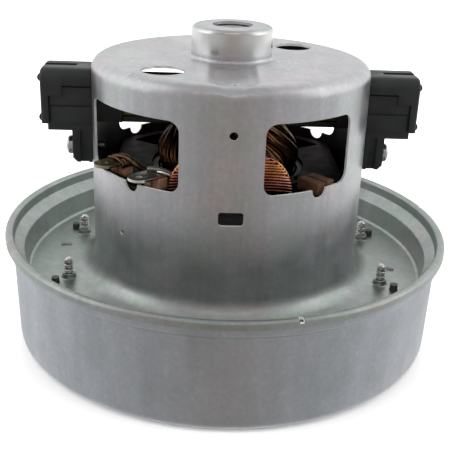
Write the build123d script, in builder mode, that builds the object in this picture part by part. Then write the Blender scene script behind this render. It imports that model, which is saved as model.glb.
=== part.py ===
from build123d import *
import math
import os

os.makedirs("parts", exist_ok=True)

# A universal-wound vacuum cleaner motor with its fan. The motor's axis is Z, the fan is at the bottom,
# the bearing boss is at the top, the brush holders stand on the X axis and the front is towards -Y.
# Lengths are in millimetres and angles in degrees. An angle round the axis is counted from the front
# towards the right, so 90 is +X.

# Driving sizes of the whole motor. Radii are counted outwards from the can's wall and levels upwards from
# the floor, so what stands on a piece moves with it.
can_diameter = 81.5
trough_width = 20.75
rim_width = 6.0
flange_top = 20.7
rim_rise = 13.4
coil_foot_gap = 0.7
coil_corner_outer = 11.0
coil_end_height = 2.6
stack_height = 17.0
top_rise = 33.0
brush_drop = 11.7
boss_height = 9.2
sheet = 0.75
bearing_diameter = 22.0
bearing_bore = 8.0
bearing_width = 7.0
overrun = 2.0
seat_clearance = 0.02
joint_clearance = 0.1

can_radius = can_diameter / 2
can_bore_radius = can_radius - sheet
trough_radius = can_radius + trough_width
rim_radius = trough_radius + rim_width
bearing_radius = bearing_diameter / 2
shaft_radius = bearing_bore / 2
rim_crest = flange_top + rim_rise
stack_low = flange_top + coil_foot_gap + coil_corner_outer + coil_end_height
stack_high = stack_low + stack_height
can_top = stack_high + top_rise
brush_axis = can_top - brush_drop
total_height = can_top + boss_height


def facing(angle, radius=0.0, height=0.0):
    """A plane that faces outwards at an angle round the axis, with its own y upwards."""
    turn = math.radians(angle)
    outward = Vector(math.sin(turn), -math.cos(turn), 0)
    sideways = Vector(math.cos(turn), math.sin(turn), 0)
    return Plane(origin=outward * radius + Vector(0, 0, height), x_dir=sideways, z_dir=outward)


def spot(angle, radius):
    """The place in plan at an angle round the axis."""
    turn = math.radians(angle)
    return (radius * math.sin(turn), -radius * math.cos(turn))


# Screws and pegs that hold the fan side together, in the plan of the flange
flange_screw_reach = 9.25
flange_screw_circle = can_radius + flange_screw_reach
flange_screw_angles = (-110.0, -70.0, 70.0, 110.0)
flange_screw_radius = 1.45
flange_screw_rise = 6.3
flange_screw_tip = flange_top + flange_screw_rise
peg_reach = 4.6
peg_circle = flange_screw_circle + peg_reach
peg_angles = (-112.5, -67.5, 67.5, 112.5)
peg_radius = 1.15
peg_rise = 1.7
peg_tip = flange_top + peg_rise
peg_hole_radius = peg_radius + 2 * joint_clearance

# The brush holders, as far out as the photograph's block and foot reach
brush_width = 6.3
brush_height = 10.0
tube_wall = 0.6
tube_width = brush_width + 2 * joint_clearance + 2 * tube_wall
tube_height = brush_height + 2 * joint_clearance + 2 * tube_wall
holder_inner_width = 12.0
holder_inner_height = 14.8
holder_opening_gap = 0.3
holder_opening_width = holder_inner_width + 2 * holder_opening_gap
holder_opening_height = holder_inner_height + 2 * holder_opening_gap
holder_screw_drop = 16.3
holder_foot_screw_height = brush_axis - holder_screw_drop
holder_screw_radius = 1.5

# Motor can: one drawing of zinc-plated steel with the bearing boss, the flange and the rolled rim
boss_radius = bearing_radius + seat_clearance + sheet
boss_hole_radius = 5.8
boss_corner = 1.5
boss_foot = 1.0
can_corner = 3.8
flare_radius = 6.0
trough_corner = 1.2
trough_draft = 0.4
ledge_drop = 6.0
ledge_height = 2.4
ledge_inner_radius = trough_radius + trough_draft
ledge_low = rim_crest - ledge_drop
ledge_high = ledge_low + ledge_height
ledge_corner = 1.2
ledge_foot = 0.8
hem_clearance = 0.075
rim_inner_radius = rim_radius - 3 * sheet - 2 * hem_clearance
crest_corner = 1.15
hem_width = 2.2
hem_low = rim_crest - hem_width
# Windows: angle of the middle, width across the flat punch, lower edge, and where the notch lies
window_height = 19.4
window_corner = 3.0
notch_radius = 2.5
notch_shift = 3.1
wide_window = 35.7
wide_window_rise = 3.9
narrow_window = 27.9
narrow_window_rise = 4.3
back_window_angle = 139.4
back_notch_shift = 5.9
window_places = (
    (-46.0, wide_window, wide_window_rise, notch_shift),
    (31.7, narrow_window, narrow_window_rise, notch_shift),
    (back_window_angle, narrow_window, wide_window_rise, -back_notch_shift),
    (-back_window_angle, narrow_window, wide_window_rise, back_notch_shift),
)
sight_hole_drop = 0.7
sight_hole_radius = 1.15
stator_slot_width = 6.7
stator_slot_height = 3.85
stator_slot_drop = 0.1
stator_slot_corner = 0.8
stator_slot_middle = stack_high - stator_slot_drop - stator_slot_height / 2
pin_mark_angle = -47.2
pin_mark_rise = 5.2
pin_mark_radius = 0.8
# Round holes in the top, with the angle, the distance from the axis and the radius of each
front_hole_inset = 11.55
front_hole_radius = 6.0
back_hole_inset = 13.55
back_hole_radius = 5.7
top_holes = (
    (-40.4, can_radius - front_hole_inset, front_hole_radius),
    (133.4, can_radius - back_hole_inset, back_hole_radius),
)
gauge_hole_reach = 2.0
gauge_hole_circle = flange_screw_circle + gauge_hole_reach
gauge_hole_angles = (-97.6, 82.4)
gauge_hole_radius = 2.0
collar_height = 1.6
collar_wall = 0.5
rim_notch_angles = (15.0, 101.8, -165.0, -71.7)
rim_notch_width = 1.2
rim_notch_depth = 1.0
recess_depth = 1.0
recess_half_width = 7.0
recess_shoulder_inset = 6.75
recess_shoulder = can_radius - recess_shoulder_inset
recess_nose = 2.6
recess_start = boss_radius + boss_foot
recess_end = can_radius + overrun

with BuildSketch() as recess_plan:
    Polygon(
        (-recess_half_width, -recess_start),
        (recess_half_width, -recess_start),
        (recess_half_width, -recess_shoulder),
        (recess_nose, -recess_end),
        (-recess_nose, -recess_end),
        (-recess_half_width, -recess_shoulder),
        align=None,
    )

with BuildPart() as motor_can:
    with BuildSketch(Plane.XZ):
        with BuildLine():
            FilletPolyline(
                (boss_hole_radius, total_height),
                (boss_radius, total_height),
                (boss_radius, can_top),
                (can_radius, can_top),
                (can_radius, flange_top),
                (trough_radius, flange_top),
                (ledge_inner_radius, ledge_low),
                (rim_inner_radius, ledge_high),
                (rim_inner_radius, rim_crest),
                (rim_radius, rim_crest),
                (rim_radius, hem_low),
                radius=[
                    boss_corner,
                    boss_foot,
                    can_corner,
                    flare_radius,
                    trough_corner,
                    ledge_corner,
                    ledge_foot,
                    crest_corner,
                    crest_corner,
                ],
            )
            offset(amount=sheet, side=Side.RIGHT, closed=True)
        make_face()
    revolve(axis=Axis.Z)
    # The pressed step in front of the boss, whose floor and sides stay as thick as the sheet
    with BuildSketch(Plane.XY.offset(can_top - recess_depth - sheet)):
        offset(recess_plan.sketch, amount=sheet)
        Circle(can_radius - can_corner / 2, mode=Mode.INTERSECT)
        Circle(boss_radius - sheet, mode=Mode.SUBTRACT)
    extrude(amount=recess_depth)
    with BuildSketch(Plane.XY.offset(can_top - recess_depth)):
        add(recess_plan.sketch)
    extrude(amount=recess_depth + overrun, mode=Mode.SUBTRACT)
    # Cooling windows, each with its half-round notch in the lower edge
    for middle, width, rise, notch_place in window_places:
        with BuildSketch(facing(middle, 0, stack_high + rise)):
            with Locations((0, window_height / 2)):
                Rectangle(width, window_height)
            fillet(vertices(), window_corner)
            with Locations((notch_place, 0)):
                Circle(notch_radius)
        extrude(amount=can_radius + overrun, mode=Mode.SUBTRACT)
    # Openings for the brush holders and the holes of their screws
    for side in (-90, 90):
        with BuildSketch(facing(side, 0, brush_axis)):
            Rectangle(holder_opening_width, holder_opening_height)
        extrude(amount=can_radius + overrun, mode=Mode.SUBTRACT)
        with BuildSketch(facing(side, 0, holder_foot_screw_height)):
            Circle(holder_screw_radius + seat_clearance)
        extrude(amount=can_radius + overrun, mode=Mode.SUBTRACT)
    # Sight hole, stator slot and pin mark in the front wall
    with BuildSketch(facing(0, 0, brush_axis - sight_hole_drop)):
        Circle(sight_hole_radius)
    extrude(amount=can_radius + overrun, mode=Mode.SUBTRACT)
    with BuildSketch(facing(0, 0, stator_slot_middle)):
        RectangleRounded(stator_slot_width, stator_slot_height, stator_slot_corner)
    extrude(amount=can_radius + overrun, mode=Mode.SUBTRACT)
    with BuildSketch(facing(pin_mark_angle, 0, stack_low + pin_mark_rise)):
        Circle(pin_mark_radius)
    extrude(amount=can_radius + overrun, mode=Mode.SUBTRACT)
    # Round holes in the top
    for angle, distance, radius in top_holes:
        with BuildSketch(Plane.XY.offset(can_top + overrun)):
            with Locations(spot(angle, distance)):
                Circle(radius)
        extrude(amount=-(sheet + 2 * overrun), mode=Mode.SUBTRACT)
    # Drawn collars that the flange screws bite into, peg holes and gauge holes
    with BuildSketch(Plane.XY.offset(flange_top)):
        with Locations(*[spot(angle, flange_screw_circle) for angle in flange_screw_angles]):
            Circle(flange_screw_radius + seat_clearance + collar_wall)
    extrude(amount=collar_height)
    with BuildSketch(Plane.XY.offset(flange_top + collar_height)):
        with Locations(*[spot(angle, flange_screw_circle) for angle in flange_screw_angles]):
            Circle(flange_screw_radius + seat_clearance)
    extrude(amount=-(collar_height + sheet + overrun), mode=Mode.SUBTRACT)
    with BuildSketch(Plane.XY.offset(flange_top)):
        with Locations(*[spot(angle, peg_circle) for angle in peg_angles]):
            Circle(peg_hole_radius)
        with Locations(*[spot(angle, gauge_hole_circle) for angle in gauge_hole_angles]):
            Circle(gauge_hole_radius)
    extrude(amount=-(sheet + overrun), mode=Mode.SUBTRACT)
    # Crimp splits round the rolled rim
    for angle in rim_notch_angles:
        with BuildSketch(facing(angle, rim_radius + overrun, rim_crest - rim_notch_depth / 2 + overrun / 2)):
            Rectangle(rim_notch_width, rim_notch_depth + overrun)
        extrude(amount=-(2 * sheet + overrun), mode=Mode.SUBTRACT)
motor_can.part.label = "motor_can"
export_step(motor_can.part, "parts/motor_can.step")

# Fan cover: the drawn steel cup round the fan, held in the can's rolled rim
inlet_radius = 19.0
inlet_lip_top = 4.6
inlet_lip_corner = 2.2
cover_inset = 2.2
cover_draft = 0.7
cover_high_radius = rim_radius - cover_inset
cover_low_radius = cover_high_radius - cover_draft
cover_corner = 3.0
joggle_drop = 4.3
joggle_height = 1.5
joggle_high = rim_crest - joggle_drop
joggle_low = joggle_high - joggle_height
joggle_corner = 0.8
lip_corner = 1.0
lip_head_gap = 0.4
lip_radius = rim_radius - sheet - hem_clearance

with BuildPart() as fan_cover:
    with BuildSketch(Plane.XZ):
        with BuildLine():
            FilletPolyline(
                (inlet_radius, inlet_lip_top),
                (inlet_radius, 0),
                (cover_low_radius, 0),
                (cover_high_radius, joggle_low),
                (lip_radius, joggle_high),
                (lip_radius, rim_crest - sheet - lip_head_gap),
                radius=[inlet_lip_corner, cover_corner, joggle_corner, lip_corner],
            )
            offset(amount=sheet, side=Side.LEFT, closed=True)
        make_face()
    revolve(axis=Axis.Z)
fan_cover.part.label = "fan_cover"
export_step(fan_cover.part, "parts/fan_cover.step")

# Bearing bracket: the thick pressing under the flange, with the lower bearing's cup and the air openings
bracket_sheet = 1.2
bracket_inset = 1.0
bracket_radius = trough_radius - bracket_inset
bracket_gap = 0.05
bracket_top = flange_top - sheet - bracket_gap
bracket_low = bracket_top - bracket_sheet
lower_bearing_low = bracket_top - joint_clearance - bearing_width
cup_low = lower_bearing_low - bracket_sheet
cup_radius = bearing_radius + seat_clearance + bracket_sheet
cup_hole_radius = 6.5
cup_corner = 1.6
cup_shoulder = 1.0
air_inner_reach = 4.78
air_inner_radius = cup_radius + air_inner_reach
air_outer_inset = 3.75
air_outer_radius = can_radius - air_outer_inset
bracket_arm_width = 12.0
air_corner = 3.0
screw_hole_gap = 0.15

with BuildPart() as bearing_bracket:
    with BuildSketch(Plane.XZ):
        with BuildLine():
            FilletPolyline(
                (cup_hole_radius, cup_low),
                (cup_radius, cup_low),
                (cup_radius, bracket_low),
                (bracket_radius, bracket_low),
                radius=[cup_corner, cup_shoulder],
            )
            offset(amount=bracket_sheet, side=Side.LEFT, closed=True)
        make_face()
    revolve(axis=Axis.Z)
    with BuildSketch(Plane.XY.offset(bracket_top + overrun)):
        Circle(air_outer_radius)
        Circle(air_inner_radius, mode=Mode.SUBTRACT)
        Rectangle(2 * air_outer_radius + overrun, bracket_arm_width, mode=Mode.SUBTRACT)
        Rectangle(bracket_arm_width, 2 * air_outer_radius + overrun, mode=Mode.SUBTRACT)
        fillet(vertices(), air_corner)
    extrude(amount=-(bracket_sheet + 2 * overrun), mode=Mode.SUBTRACT)
    with BuildSketch(Plane.XY.offset(bracket_top + overrun)):
        with Locations(*[spot(angle, flange_screw_circle) for angle in flange_screw_angles]):
            Circle(flange_screw_radius + screw_hole_gap)
        with Locations(*[spot(angle, peg_circle) for angle in peg_angles]):
            Circle(peg_hole_radius)
    extrude(amount=-(bracket_sheet + 2 * overrun), mode=Mode.SUBTRACT)
bearing_bracket.part.label = "bearing_bracket"
export_step(bearing_bracket.part, "parts/bearing_bracket.step")

# Diffuser: the moulded disc behind the fan, whose return vanes bring the air back to the motor
impeller_plate = 0.8
fan_cup_gap = 0.8
impeller_back_high = cup_low - fan_cup_gap
impeller_back_low = impeller_back_high - impeller_plate
fan_disc_gap = 1.8
diffuser_inset = 2.0
diffuser_radius = bracket_radius - diffuser_inset
diffuser_plate = 1.5
diffuser_top = bracket_low - bracket_gap
diffuser_low = impeller_back_high + fan_disc_gap
diffuser_bore = cup_radius + 4 * joint_clearance
vane_count = 9
vane_wall = 1.4
vane_inner_radius = 20.0
vane_outer_radius = diffuser_radius - diffuser_inset
vane_sweep_angle = 62.0
vane_bulge_share = 0.56
screw_boss_radius = 4.0
screw_head_radius = 2.9
screw_head_height = 2.2
screw_head_gap = 0.2
screw_head_seat = diffuser_low + screw_head_height + screw_head_gap

with BuildPart() as diffuser:
    with BuildSketch(Plane.XY.offset(diffuser_low)):
        Circle(diffuser_radius)
        Circle(diffuser_bore, mode=Mode.SUBTRACT)
    extrude(amount=diffuser_plate)
    with BuildSketch(Plane.XY.offset(diffuser_low + diffuser_plate)):
        for copy in range(vane_count):
            turn_angle = 360 / vane_count * copy
            vane_middle = vane_inner_radius + vane_bulge_share * (vane_outer_radius - vane_inner_radius)
            with BuildLine():
                vane_line = ThreePointArc(
                    spot(turn_angle, vane_inner_radius),
                    spot(turn_angle + vane_sweep_angle / 3, vane_middle),
                    spot(turn_angle + vane_sweep_angle, vane_outer_radius),
                )
            trace(vane_line, line_width=vane_wall)
        with Locations(*[spot(angle, flange_screw_circle) for angle in flange_screw_angles]):
            Circle(screw_boss_radius)
    extrude(amount=diffuser_top - diffuser_low - diffuser_plate)
    with BuildSketch(Plane.XY.offset(diffuser_low + diffuser_plate)):
        with Locations(*[spot(angle, peg_circle) for angle in peg_angles]):
            Circle(peg_radius)
    extrude(amount=peg_tip - diffuser_low - diffuser_plate)
    with BuildSketch(Plane.XY.offset(diffuser_low - overrun)):
        with Locations(*[spot(angle, flange_screw_circle) for angle in flange_screw_angles]):
            Circle(screw_head_radius + screw_head_gap)
    extrude(amount=screw_head_seat - diffuser_low + overrun, mode=Mode.SUBTRACT)
    with BuildSketch(Plane.XY.offset(screw_head_seat)):
        with Locations(*[spot(angle, flange_screw_circle) for angle in flange_screw_angles]):
            Circle(flange_screw_radius + screw_hole_gap)
    extrude(amount=diffuser_top - screw_head_seat + overrun, mode=Mode.SUBTRACT)
diffuser.part.label = "diffuser"
export_step(diffuser.part, "parts/diffuser.step")

# Flange screws: four that go up through the diffuser and the bracket and show their tips in the trough
screw_tip_chamfer = 0.4
with BuildPart() as flange_screws:
    with BuildSketch(Plane.XY.offset(screw_head_seat - screw_head_height)):
        with Locations(*[spot(angle, flange_screw_circle) for angle in flange_screw_angles]):
            Circle(screw_head_radius)
    extrude(amount=screw_head_height)
    with BuildSketch(Plane.XY.offset(screw_head_seat)):
        with Locations(*[spot(angle, flange_screw_circle) for angle in flange_screw_angles]):
            Circle(flange_screw_radius)
    extrude(amount=flange_screw_tip - screw_head_seat)
    chamfer(flange_screws.faces().group_by(Axis.Z)[-1].edges(), screw_tip_chamfer)
flange_screws.part.label = "flange_screws"
export_step(flange_screws.part, "parts/flange_screws.step")

# Stator core: a stack of laminations with two poles, front and back, round the armature's bore
stator_radius = can_bore_radius - 2 * seat_clearance
flat_depth = 5.96
yoke_wall = 3.66
coil_yoke_gap = 3.3
coil_thickness = 5.8
coil_pole_gap = 0.5
pole_wall = 5.4
coil_turn_angle = 11.0
coil_side_gap = 0.51
stator_flat = stator_radius - flat_depth
coil_slot_outer = stator_radius - yoke_wall
coil_outer_face = coil_slot_outer - coil_yoke_gap
coil_inner_face = coil_outer_face - coil_thickness
coil_slot_inner = coil_inner_face - coil_pole_gap
stator_bore_radius = coil_slot_inner - pole_wall
pole_half_width = coil_inner_face * math.sin(math.radians(coil_turn_angle)) + coil_side_gap
coil_slot_angle = 56.0
slot_mouth_angle = 5.0

with BuildSketch() as coil_slots:
    Circle(coil_slot_outer)
    Circle(coil_slot_inner, mode=Mode.SUBTRACT)
    with BuildSketch(mode=Mode.PRIVATE) as slot_reach:
        Polygon(
            (pole_half_width, -pole_half_width / math.tan(math.radians(coil_slot_angle))),
            (pole_half_width, -can_radius),
            (can_radius, -can_radius),
            spot(coil_slot_angle, can_radius + overrun),
            align=None,
        )
        mirror(about=Plane.YZ)
        mirror(about=Plane.XZ)
    add(slot_reach.sketch, mode=Mode.INTERSECT)
with BuildSketch() as slot_mouths:
    Circle((coil_slot_inner + coil_slot_outer) / 2)
    Circle(stator_bore_radius - overrun, mode=Mode.SUBTRACT)
    with BuildSketch(mode=Mode.PRIVATE) as mouth_reach:
        Polygon(
            (0, 0),
            spot(coil_slot_angle - slot_mouth_angle, can_radius),
            spot(coil_slot_angle, can_radius),
            align=None,
        )
        mirror(about=Plane.YZ)
        mirror(about=Plane.XZ)
    add(mouth_reach.sketch, mode=Mode.INTERSECT)

with BuildPart() as stator_core:
    with BuildSketch(Plane.XY.offset(stack_low)):
        Circle(stator_radius)
        Rectangle(2 * stator_flat, 2 * can_radius, mode=Mode.INTERSECT)
        Circle(stator_bore_radius, mode=Mode.SUBTRACT)
        add(coil_slots.sketch, mode=Mode.SUBTRACT)
        add(slot_mouths.sketch, mode=Mode.SUBTRACT)
    extrude(amount=stack_height)
stator_core.part.label = "stator_core"
export_step(stator_core.part, "parts/stator_core.step")

# Field coils: each is a band of copper round its pole, wound over a plain core with one outer layer of wire
coil_corner_inner = 0.9
coil_top_centre = stack_high + coil_end_height
coil_low_centre = stack_low - coil_end_height
wire_radius = 0.35
wire_loops = 9
wire_seat = 0.05
wire_face = coil_outer_face + wire_seat + wire_radius
wire_inset = 0.6
wire_overhang = 0.25
first_turn_radius = coil_corner_inner + wire_inset
last_left_reach = coil_corner_outer + wire_overhang
wire_pitch = (last_left_reach - first_turn_radius) / (wire_loops - 1 / 2)

with BuildPart() as field_coil_front:
    for side in (-1, 1):
        with BuildSketch(facing(side * coil_turn_angle, coil_inner_face)):
            with Locations((0, (coil_top_centre + coil_low_centre) / 2)):
                SlotCenterToCenter(coil_top_centre - coil_low_centre, 2 * coil_corner_outer, rotation=90)
                SlotCenterToCenter(
                    coil_top_centre - coil_low_centre,
                    2 * coil_corner_inner,
                    rotation=90,
                    mode=Mode.SUBTRACT,
                )
            with Locations((side * coil_corner_outer, (coil_top_centre + coil_low_centre) / 2)):
                Rectangle(2 * coil_corner_outer, 2 * can_top, mode=Mode.INTERSECT)
        extrude(amount=coil_outer_face - coil_inner_face)
    for level in (coil_top_centre + coil_corner_inner, coil_low_centre - coil_corner_outer):
        with BuildSketch(Plane.XY.offset(level)):
            Circle(coil_outer_face)
            Circle(coil_inner_face, mode=Mode.SUBTRACT)
            Polygon(
                (0, 0),
                spot(-coil_turn_angle, can_radius),
                (0, -2 * can_radius),
                spot(coil_turn_angle, can_radius),
                align=None,
                mode=Mode.INTERSECT,
            )
        extrude(amount=coil_corner_outer - coil_corner_inner)
field_coil_front.part.label = "field_coil_front"
export_step(field_coil_front.part, "parts/field_coil_front.step")

with BuildPart() as field_coil_back:
    with Locations(Rotation(0, 0, 180)):
        add(field_coil_front.part)
field_coil_back.part.label = "field_coil_back"
export_step(field_coil_back.part, "parts/field_coil_back.step")


def wire_place(side, reach, height):
    """A place of the wire beside the pole, at its reach from the turn of the winding's face."""
    return facing(side * coil_turn_angle, wire_face, height).from_local_coords(Vector(side * reach, 0, 0))


def quarter(side, reach, centre, way):
    """The middle of a quarter turn of the wire that is centred on the turn of the winding's face."""
    slant = reach * math.sqrt(0.5)
    return wire_place(side, slant, centre + way * slant)


# Outer layer of wire on each field coil: one unbroken spiral, from a catch beside the pole to one at the
# yoke. The left half of the spiral lies half a pitch lower, so that each loop grows into the next.
half_pitch = wire_pitch / 2
left_top = coil_top_centre - half_pitch
left_low = coil_low_centre - half_pitch

with BuildPart() as field_winding_front:
    with BuildLine() as wire_path:
        for loop in range(wire_loops):
            reach = first_turn_radius + loop * wire_pitch
            left_reach = reach + half_pitch
            next_reach = reach + wire_pitch
            top = coil_top_centre + reach
            low = left_low - left_reach
            right_start = wire_place(1, reach, coil_low_centre if loop else stack_low)
            right_end = wire_place(1, reach, coil_top_centre)
            right_over = wire_place(1, 0, top)
            left_over = wire_place(-1, 0, top)
            left_start = wire_place(-1, left_reach, left_top)
            left_end = wire_place(-1, left_reach, left_low if loop < wire_loops - 1 else stack_low)
            Line(right_start, right_end)
            ThreePointArc(right_end, quarter(1, reach, coil_top_centre, 1), right_over)
            ThreePointArc(right_over, (0, -wire_face, top), left_over)
            ThreePointArc(left_over, quarter(-1, left_reach, left_top, 1), left_start)
            Line(left_start, left_end)
            if loop < wire_loops - 1:
                left_under = wire_place(-1, 0, low)
                right_under = wire_place(1, 0, low)
                next_start = wire_place(1, next_reach, coil_low_centre)
                ThreePointArc(left_end, quarter(-1, left_reach, left_low, -1), left_under)
                ThreePointArc(left_under, (0, -wire_face, low), right_under)
                ThreePointArc(right_under, quarter(1, next_reach, coil_low_centre, -1), next_start)
    with BuildSketch(Plane(origin=wire_place(1, first_turn_radius, stack_low), z_dir=(0, 0, 1))):
        Circle(wire_radius)
    sweep(path=wire_path.line)
field_winding_front.part.label = "field_winding_front"
export_step(field_winding_front.part, "parts/field_winding_front.step")

# The winding's least gap to itself, measured on points along it that lie more than three pitches apart
wire_points = []
for edge in wire_path.edges():
    steps = max(2, round(edge.length / wire_radius))
    wire_points.extend(edge @ (step / steps) for step in range(steps))
apart = round(3 * wire_pitch / wire_radius)
least_gap = min(
    (wire_points[later] - wire_points[first]).length - 2 * wire_radius
    for first in range(len(wire_points))
    for later in range(first + apart, len(wire_points), 2)
)
wire_length = sum(edge.length for edge in wire_path.edges())
wire_volume = math.pi * wire_radius**2 * wire_length
print(f"winding: {wire_loops} loops, {wire_length:.0f} mm of wire, least gap to itself {least_gap:.2f} mm")
print(f"winding: volume {field_winding_front.part.volume:.1f}, section times length {wire_volume:.1f}")

with BuildPart() as field_winding_back:
    with Locations(Rotation(0, 0, 180)):
        add(field_winding_front.part)
field_winding_back.part.label = "field_winding_back"
export_step(field_winding_back.part, "parts/field_winding_back.step")

# Coil insulators: moulded brown plates on both ends of the stack
insulator_plate = 0.9
insulator_bore_gap = 1.7
insulator_bore_radius = stator_bore_radius + insulator_bore_gap
insulator_edge_gap = 0.4

with BuildSketch() as insulator_plan:
    Circle(stator_radius - insulator_edge_gap)
    Rectangle(2 * stator_flat - 2 * insulator_edge_gap, 2 * can_radius, mode=Mode.INTERSECT)
    Circle(insulator_bore_radius, mode=Mode.SUBTRACT)
    add(coil_slots.sketch, mode=Mode.SUBTRACT)
    add(slot_mouths.sketch, mode=Mode.SUBTRACT)

# The upper one has two blocks that carry the terminals, side by side behind the left window, and one that
# holds the supply wires behind the right window. Each has a slit for its wire.
terminal_angle = -47.5
front_terminal_shift = 5.5
side_terminal_shift = -9.9
wire_block_angle = 43.0
wire_block_inset = 1.36
wire_block_length = 7.6
block_width = 6.8
block_length = 3.0
block_inset = 5.56
block_height = 4.8
block_foot_overlap = 3.2
block_face = stator_radius - block_inset
block_top = stack_high + block_height
block_slit = 0.7
block_slit_depth = 3.2
wire_block_face = stator_radius - wire_block_inset
block_places = (
    (terminal_angle, front_terminal_shift, block_face, block_length),
    (terminal_angle, side_terminal_shift, block_face, block_length),
    (wire_block_angle, 0, wire_block_face, wire_block_length),
)

with BuildPart() as coil_insulator_upper:
    with BuildSketch(Plane.XY.offset(stack_high)):
        add(insulator_plan.sketch)
    extrude(amount=insulator_plate)
    for angle, shift, face, length in block_places:
        with BuildSketch(facing(angle, face, block_top)):
            with Locations((shift, -block_height / 2)):
                Rectangle(block_width, block_height)
            with Locations((shift, -block_slit_depth / 2)):
                Rectangle(block_slit, block_slit_depth, mode=Mode.SUBTRACT)
        extrude(amount=-length)
    with BuildSketch(facing(terminal_angle, block_face, stack_high + insulator_plate / 2)):
        with Locations((front_terminal_shift, 0), (side_terminal_shift, 0)):
            Rectangle(block_width, insulator_plate)
    extrude(amount=block_foot_overlap)
coil_insulator_upper.part.label = "coil_insulator_upper"
export_step(coil_insulator_upper.part, "parts/coil_insulator_upper.step")

# The lower one has catches that the two ends of each winding's wire stand on
catch_lip = 0.2
catch_root = 1.0
catch_face = wire_face - wire_radius
catch_level = stack_low - insulator_plate / 2
first_catch_reach = first_turn_radius + wire_radius + catch_lip
slot_edge_reach = math.sqrt(coil_slot_outer**2 - last_left_reach**2)

with BuildPart() as coil_insulator_lower:
    with BuildSketch(Plane.XY.offset(stack_low - insulator_plate)):
        add(insulator_plan.sketch)
    extrude(amount=insulator_plate)
    for turn in (0, 180):
        with BuildSketch(facing(turn + coil_turn_angle, catch_face, catch_level)):
            with Locations(((first_catch_reach - catch_root) / 2, 0)):
                Rectangle(first_catch_reach + catch_root, insulator_plate)
        extrude(amount=2 * wire_radius + catch_lip)
        with BuildSketch(facing(turn - coil_turn_angle, catch_face, catch_level)):
            with Locations((-last_left_reach, 0)):
                Rectangle(2 * (wire_radius + catch_lip), insulator_plate)
        extrude(amount=slot_edge_reach - catch_face + catch_root)
coil_insulator_lower.part.label = "coil_insulator_lower"
export_step(coil_insulator_lower.part, "parts/coil_insulator_lower.step")


# Terminals: a pair of blades of the usual width that lie on the upper insulator's blocks, side by side, and
# point out through the left window
terminal_thickness = 0.8
terminal_width = 6.3
terminal_hole_radius = 0.8
terminal_tip = 7.4
terminal_round_centre = block_face + terminal_tip - terminal_width / 2
terminal_tail = block_face - block_length
terminal_places = (
    ("terminal_front", front_terminal_shift),
    ("terminal_side", side_terminal_shift),
)

for name, shift in terminal_places:
    with BuildPart() as terminal:
        with BuildSketch(Plane.XY.offset(block_top).rotated((0, 0, terminal_angle))):
            with Locations((shift, -(terminal_tail + terminal_round_centre) / 2)):
                Rectangle(terminal_width, terminal_round_centre - terminal_tail)
            with Locations((shift, -terminal_round_centre)):
                Circle(terminal_width / 2)
                Circle(terminal_hole_radius, mode=Mode.SUBTRACT)
        extrude(amount=terminal_thickness)
    terminal.part.label = name
    export_step(terminal.part, f"parts/{name}.step")

# Shaft, with the fan's end at the bottom
shaft_low = 1.6
shaft_top_gap = 1.05
shaft_chamfer = 0.5
washer_height = 0.45
upper_bearing_low = total_height - sheet - washer_height - bearing_width
shaft_high = total_height - sheet - shaft_top_gap
on_shaft_radius = shaft_radius + seat_clearance

with BuildPart() as shaft:
    with BuildSketch(Plane.XY.offset(shaft_low)):
        Circle(shaft_radius)
    extrude(amount=shaft_high - shaft_low)
    chamfer(shaft.edges().filter_by(GeomType.CIRCLE), shaft_chamfer)
shaft.part.label = "shaft"
export_step(shaft.part, "parts/shaft.step")

# Armature core: a stack of laminations with twelve wire slots
air_gap = 0.7
armature_radius = stator_bore_radius - air_gap
armature_slot_count = 12
armature_tip = 2.25
armature_root = 6.85
armature_slot_end = armature_radius - armature_tip
armature_slot_start = shaft_radius + armature_root
armature_slot_circle = (armature_slot_start + armature_slot_end) / 2
armature_slot_depth = armature_slot_end - armature_slot_start
armature_slot_width = 4.4
slot_mouth_width = 1.8
slot_mouth_length = 2 * armature_tip + overrun
slot_liner = 0.2

with BuildPart() as armature_core:
    with BuildSketch(Plane.XY.offset(stack_low)):
        Circle(armature_radius)
        Circle(on_shaft_radius, mode=Mode.SUBTRACT)
        with PolarLocations(armature_slot_circle, armature_slot_count):
            Rectangle(armature_slot_depth, armature_slot_width, mode=Mode.SUBTRACT)
        with PolarLocations(armature_slot_end, armature_slot_count):
            Rectangle(slot_mouth_length, slot_mouth_width, mode=Mode.SUBTRACT)
    extrude(amount=stack_height)
armature_core.part.label = "armature_core"
export_step(armature_core.part, "parts/armature_core.step")

# The commutator's place on the shaft, under the brushes, and the hooks of its bars
commutator_radius = 11.5
bar_inner_radius = 7.5
bar_half_length = 7.5
bar_drop = 0.3
hub_overhang = 0.5
bar_low = brush_axis - bar_drop - bar_half_length
bar_high = bar_low + 2 * bar_half_length
hub_low = bar_low - hub_overhang
hub_high = bar_high + hub_overhang
bar_count = 22
bar_step_angle = 360 / bar_count
hook_rise = 2.5
hook_sink = 1.0
hook_height = 1.8
hook_width = 1.6
hook_reach = commutator_radius + hook_rise
hook_root = commutator_radius - hook_sink

# Armature winding: copper bars in the slots, joined by the crossing wires at both ends of the core
head_inner_radius = 7.6
head_root_inset = 1.0
head_bulge = 0.4
head_neck_inset = 4.4
lower_bulge_inset = 0.2
head_root_radius = armature_radius - head_root_inset
head_bulge_radius = armature_radius + head_bulge
head_neck_radius = armature_radius - head_neck_inset
lower_head_bulge_radius = armature_radius - lower_bulge_inset
head_gap = 0.1
upper_head_bulge = 5.5
head_top_gap = 0.4
head_crown = 1.0
upper_head_top = hub_low - stack_high - head_top_gap
upper_head_neck = upper_head_top - head_crown
lower_head_bulge = 6.0
head_foot_gap = 1.5
lower_head_low = stack_low - bracket_top - head_foot_gap

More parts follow.
